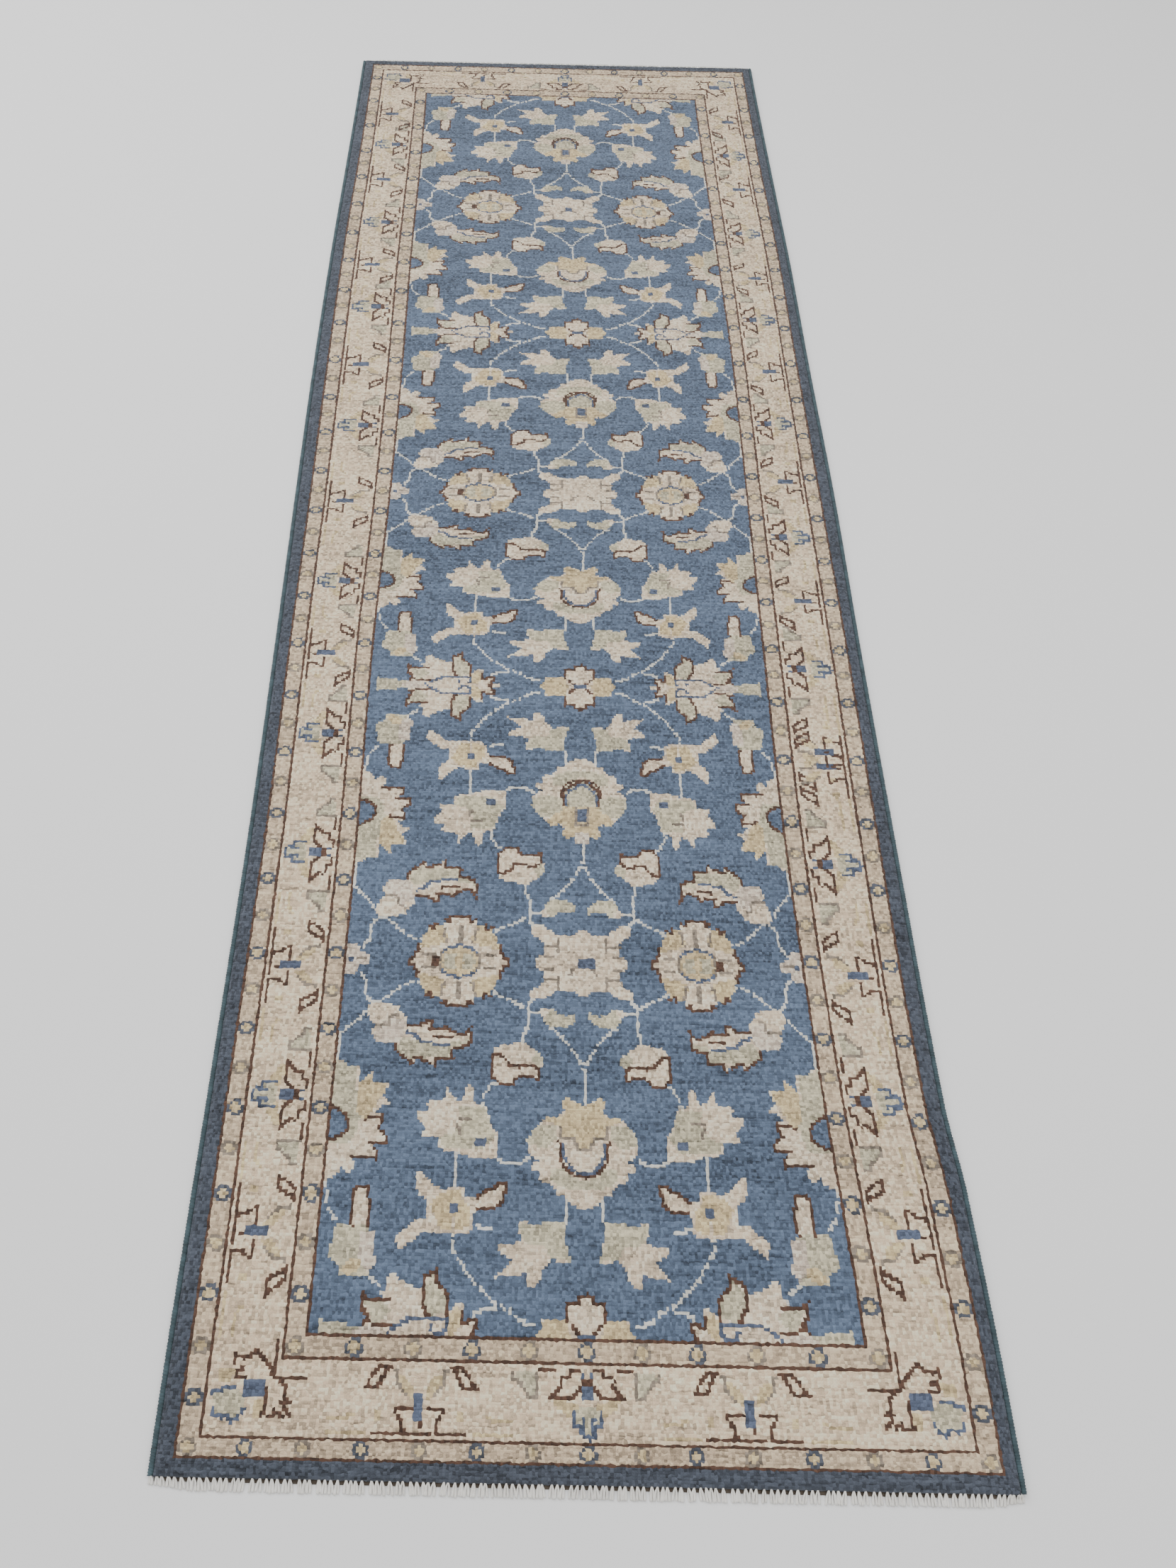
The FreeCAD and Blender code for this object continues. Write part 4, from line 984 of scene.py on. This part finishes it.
# ---- selvedges ----------------------------------------------------------------------------
EDGE_WOOL = overcast_wool("edge_wool", EDGE_GREEN)
CORD_COTTON = cotton("cord_cotton", COTTON)
WRAP_STEPS = 4            # sections for each turn of the overcasting, one turn a knot row
WRAP_UNEVEN = 0.00022     # the most that one turn of the overcasting stands out or in
WRAP_SPREAD = 0.00012     # how unevenly the turns usually stand
WRAP_RIDGE = 0.00034      # how far each turn's yarn stands out
WRAP_INSET = 0.0002       # the wrap's middle surface lies this far inside the solid's sides
WRAP_LOW = 0.0006         # and this far inside its top and bottom
WRAP_TURNS, CORD_TURNS = 12, 9      # points round a section
CORD_RADIUS = 0.0012
CORD_PLY = 0.00012        # how far the cord's plies stand out


def tube(name, side, count, height, section, turns, material):
    """A closed tube down one side of the rug; section gives half widths and half heights."""
    x, y = lay(np.full(count, side * COLUMNS), np.linspace(-ROWS, ROWS, count))
    turn = np.arange(turns) * 2 * math.pi / turns
    wide, high = section(np.arange(count)[:, None], turn[None, :])
    px = (x + side * SELVEDGE / 2)[:, None] + wide * np.cos(turn)
    points = np.stack([px, np.repeat(y[:, None], turns, axis=1), height + high * np.sin(turn)], 2)
    index = np.arange(count * turns).reshape(count, turns)
    after = np.roll(index, -1, axis=1)
    quads = np.stack([index[:-1], index[1:], after[1:], after[:-1]], 2).reshape(-1, 4).tolist()
    caps = [index[0].tolist(), index[-1, ::-1].tolist()]
    return new_object(name, points.reshape(-1, 3).tolist(), quads + caps, material)


def wrap_section(station, turn):
    ridge = WRAP_RIDGE * np.sin(station / WRAP_STEPS * 2 * math.pi + turn)
    turns = np.clip(chance.normal(0, WRAP_SPREAD, 2 * ROWS + 1), -WRAP_UNEVEN, WRAP_UNEVEN)
    uneven = turns.repeat(WRAP_STEPS)[:len(station)][:, None]
    return SELVEDGE / 2 - WRAP_INSET + ridge + uneven, SELVEDGE_TOP / 2 - WRAP_LOW + ridge + uneven


def cord_section(station, turn):
    radius = CORD_RADIUS + CORD_PLY * np.cos(3 * turn + station * 0.7)
    return radius, radius


for side, name in ((1, "right"), (-1, "left")):
    wrap = tube("selvedge_overcast_" + name, side, 2 * ROWS * WRAP_STEPS + 1, SELVEDGE_TOP / 2, wrap_section,
                WRAP_TURNS, EDGE_WOOL)
    finish_piece(wrap, "selvedge_wool", ["selvedge_wrap_" + name])
    cord = tube("selvedge_core_" + name, side, 2 * ROWS + 1, SELVEDGE_TOP / 2, cord_section,
                CORD_TURNS, CORD_COTTON)
    finish_piece(cord, "cotton_cord", ["selvedge_cord_" + name])


# ---- warp ends ----------------------------------------------------------------------------
BUNDLE_KNOTS = 2          # the room of one bundle of warp ends
STRANDS = (-1, 1)         # each bundle opens into two strands
STRAND_TURNS, STRAND_STATIONS = 8, 9
STRAND_PLACES = [0, 0.12, 0.4, 0.8, 1]           # places along a strand, as shares of its length
STRAND_WIDTHS = [0.40, 0.48, 0.78, 0.90, 0.84]   # its width there, as shares of its room
STRAND_SPREAD = [0.18, 0.30, 0.78, 1, 1.04]      # how far it has opened away from its bundle's middle
END_OVERHANG = 2          # knots that the bundles reach past the pile's corners, under the selvedge
START_UNDER = 0.0008      # the bundles start this far in under the pile
END_SHARE = {"near": 0.80, "far": 0.86}
CORNER_TAPER = 16         # the bundles get shorter over the last knots before a corner
ROOT_RISE = 0.0020        # the bundles leave the pile's edge this far above where they come to lie
STRAND_GAP = 0.0003       # from a lying strand to the floor
STRAND_THICK, STRAND_THINNING = 0.0014, 0.0005      # half its thickness, and how much that falls


def strand_rings(x, y, end, side, lean, length):
    """Rings of points round one strand, from the pile's edge outwards."""
    room = BUNDLE_KNOTS * KNOT / len(STRANDS)
    stout = chance.normal(1, 0.10)
    rings = []
    for station in range(STRAND_STATIONS):
        t = station / (STRAND_STATIONS - 1)
        half = room / 2 * float(np.interp(t, STRAND_PLACES, STRAND_WIDTHS)) * stout
        spread = side * room / 2 * float(np.interp(t, STRAND_PLACES, STRAND_SPREAD))
        thick = STRAND_THICK - STRAND_THINNING * float(smooth((t - 0.3) / 0.7))
        middle = STRAND_GAP + thick + ROOT_RISE * (1 - float(smooth(t / 0.6)))
        along = t * (length + START_UNDER) - START_UNDER
        angles = [turn * 2 * math.pi / STRAND_TURNS for turn in range(STRAND_TURNS)]
        rings.append([(x + lean * t + spread + half * math.cos(angle), y - end * along,
                       middle + thick * math.sin(angle)) for angle in angles])
    return rings


def warp_ends(end, name, material):
    """Warp ends in bundles: each comes out narrow from under the pile and opens into strands."""
    points, quads = [], []
    count = round(2 * (COLUMNS + END_OVERHANG) / BUNDLE_KNOTS)
    for k in range(count):
        column = (k + 0.5 - count / 2) * BUNDLE_KNOTS + chance.normal(0, 0.30)
        x, y = (float(v) for v in lay(column, end * ROWS))
        corner = float(smooth((abs(column) - COLUMNS - END_OVERHANG) / CORNER_TAPER + 1))
        bundle_lean = chance.normal(0, 0.0010) + 0.0016 * math.sin(0.075 * k + 0.9) * math.sin(0.30 * k)
        for side in STRANDS:
            length = END_LENGTH * END_SHARE[name] * chance.normal(1, 0.03) * (1 - 0.4 * corner)
            lean = bundle_lean + chance.normal(0, 0.0004)
            base = len(points)
            for ring in strand_rings(x, y, end, side, lean, length):
                points += ring
            rings = [[base + s * STRAND_TURNS + j for j in range(STRAND_TURNS)]
                     for s in range(STRAND_STATIONS)]
            for inner_ring, outer_ring in zip(rings, rings[1:]):
                for j in range(STRAND_TURNS):
                    after = (j + 1) % STRAND_TURNS
                    quad = [inner_ring[j], inner_ring[after], outer_ring[after], outer_ring[j]]
                    quads.append(quad[::end])
            quads.append(rings[0][::-end])
            quads.append(rings[-1][::end])
    return new_object("warp_ends_" + name, points, quads, material)


for end, name, colour in ((1, "near", COTTON_NEAR), (-1, "far", COTTON_FAR)):
    strands = warp_ends(end, name, cotton("end_cotton_" + name, colour, lengthwise=True))
    finish_piece(strands, "cotton_fringe", ["fringe_" + name])


# ---- floor, light and camera -------------------------------------------------------------------
FLOOR_HALF = 6.0
floor_paint = Nodes("studio_floor")
floor_place = floor_paint.add("TexCoord").outputs["Object"]
floor_paint.put(floor_paint.ramp(floor_paint.noise(floor_place, 3.0), [(0.0, [0.90, 0.90, 0.90, 1]),
                                                                       (1.0, [0.93, 0.93, 0.93, 1])]),
                floor_paint.shader.inputs["Base Color"])
floor_paint.shader.inputs["Roughness"].default_value = 0.9
h = FLOOR_HALF
floor = new_object("floor", [(-h, -h, 0), (h, -h, 0), (h, h, 0), (-h, h, 0)], [(0, 1, 2, 3)],
                   floor_paint.material)

world = bpy.data.worlds.new("studio")
bpy.context.scene.world = world
world.use_nodes = True
world.node_tree.nodes["Background"].inputs["Color"].default_value = (1, 1, 1, 1)
world.node_tree.nodes["Background"].inputs["Strength"].default_value = 0.75


def area_light(name, place, size, watts, aim):
    light = bpy.data.lights.new(name, "AREA")
    light.shape = "RECTANGLE"
    light.size, light.size_y = size
    light.energy = watts
    lamp = bpy.data.objects.new(name, light)
    bpy.context.scene.collection.objects.link(lamp)
    lamp.location = place
    lamp.rotation_euler = (Vector(aim) - Vector(place)).to_track_quat("-Z", "Y").to_euler()


area_light("softbox_left", (-2.2, 1.4, 2.6), (2.4, 3.0), 70, (0, 0, 0))
area_light("softbox_over", (0.6, -0.4, 3.4), (3.0, 4.0), 60, (0, 0, 0))

camera = bpy.data.objects.new("camera", bpy.data.cameras.new("camera"))
bpy.context.scene.collection.objects.link(camera)
camera.data.lens = 28
camera.location = (-0.0389, -1.3701, 1.3262)
camera.rotation_euler = [math.radians(angle) for angle in (33.165, -1.741, -1.22)]
bpy.context.scene.camera = camera
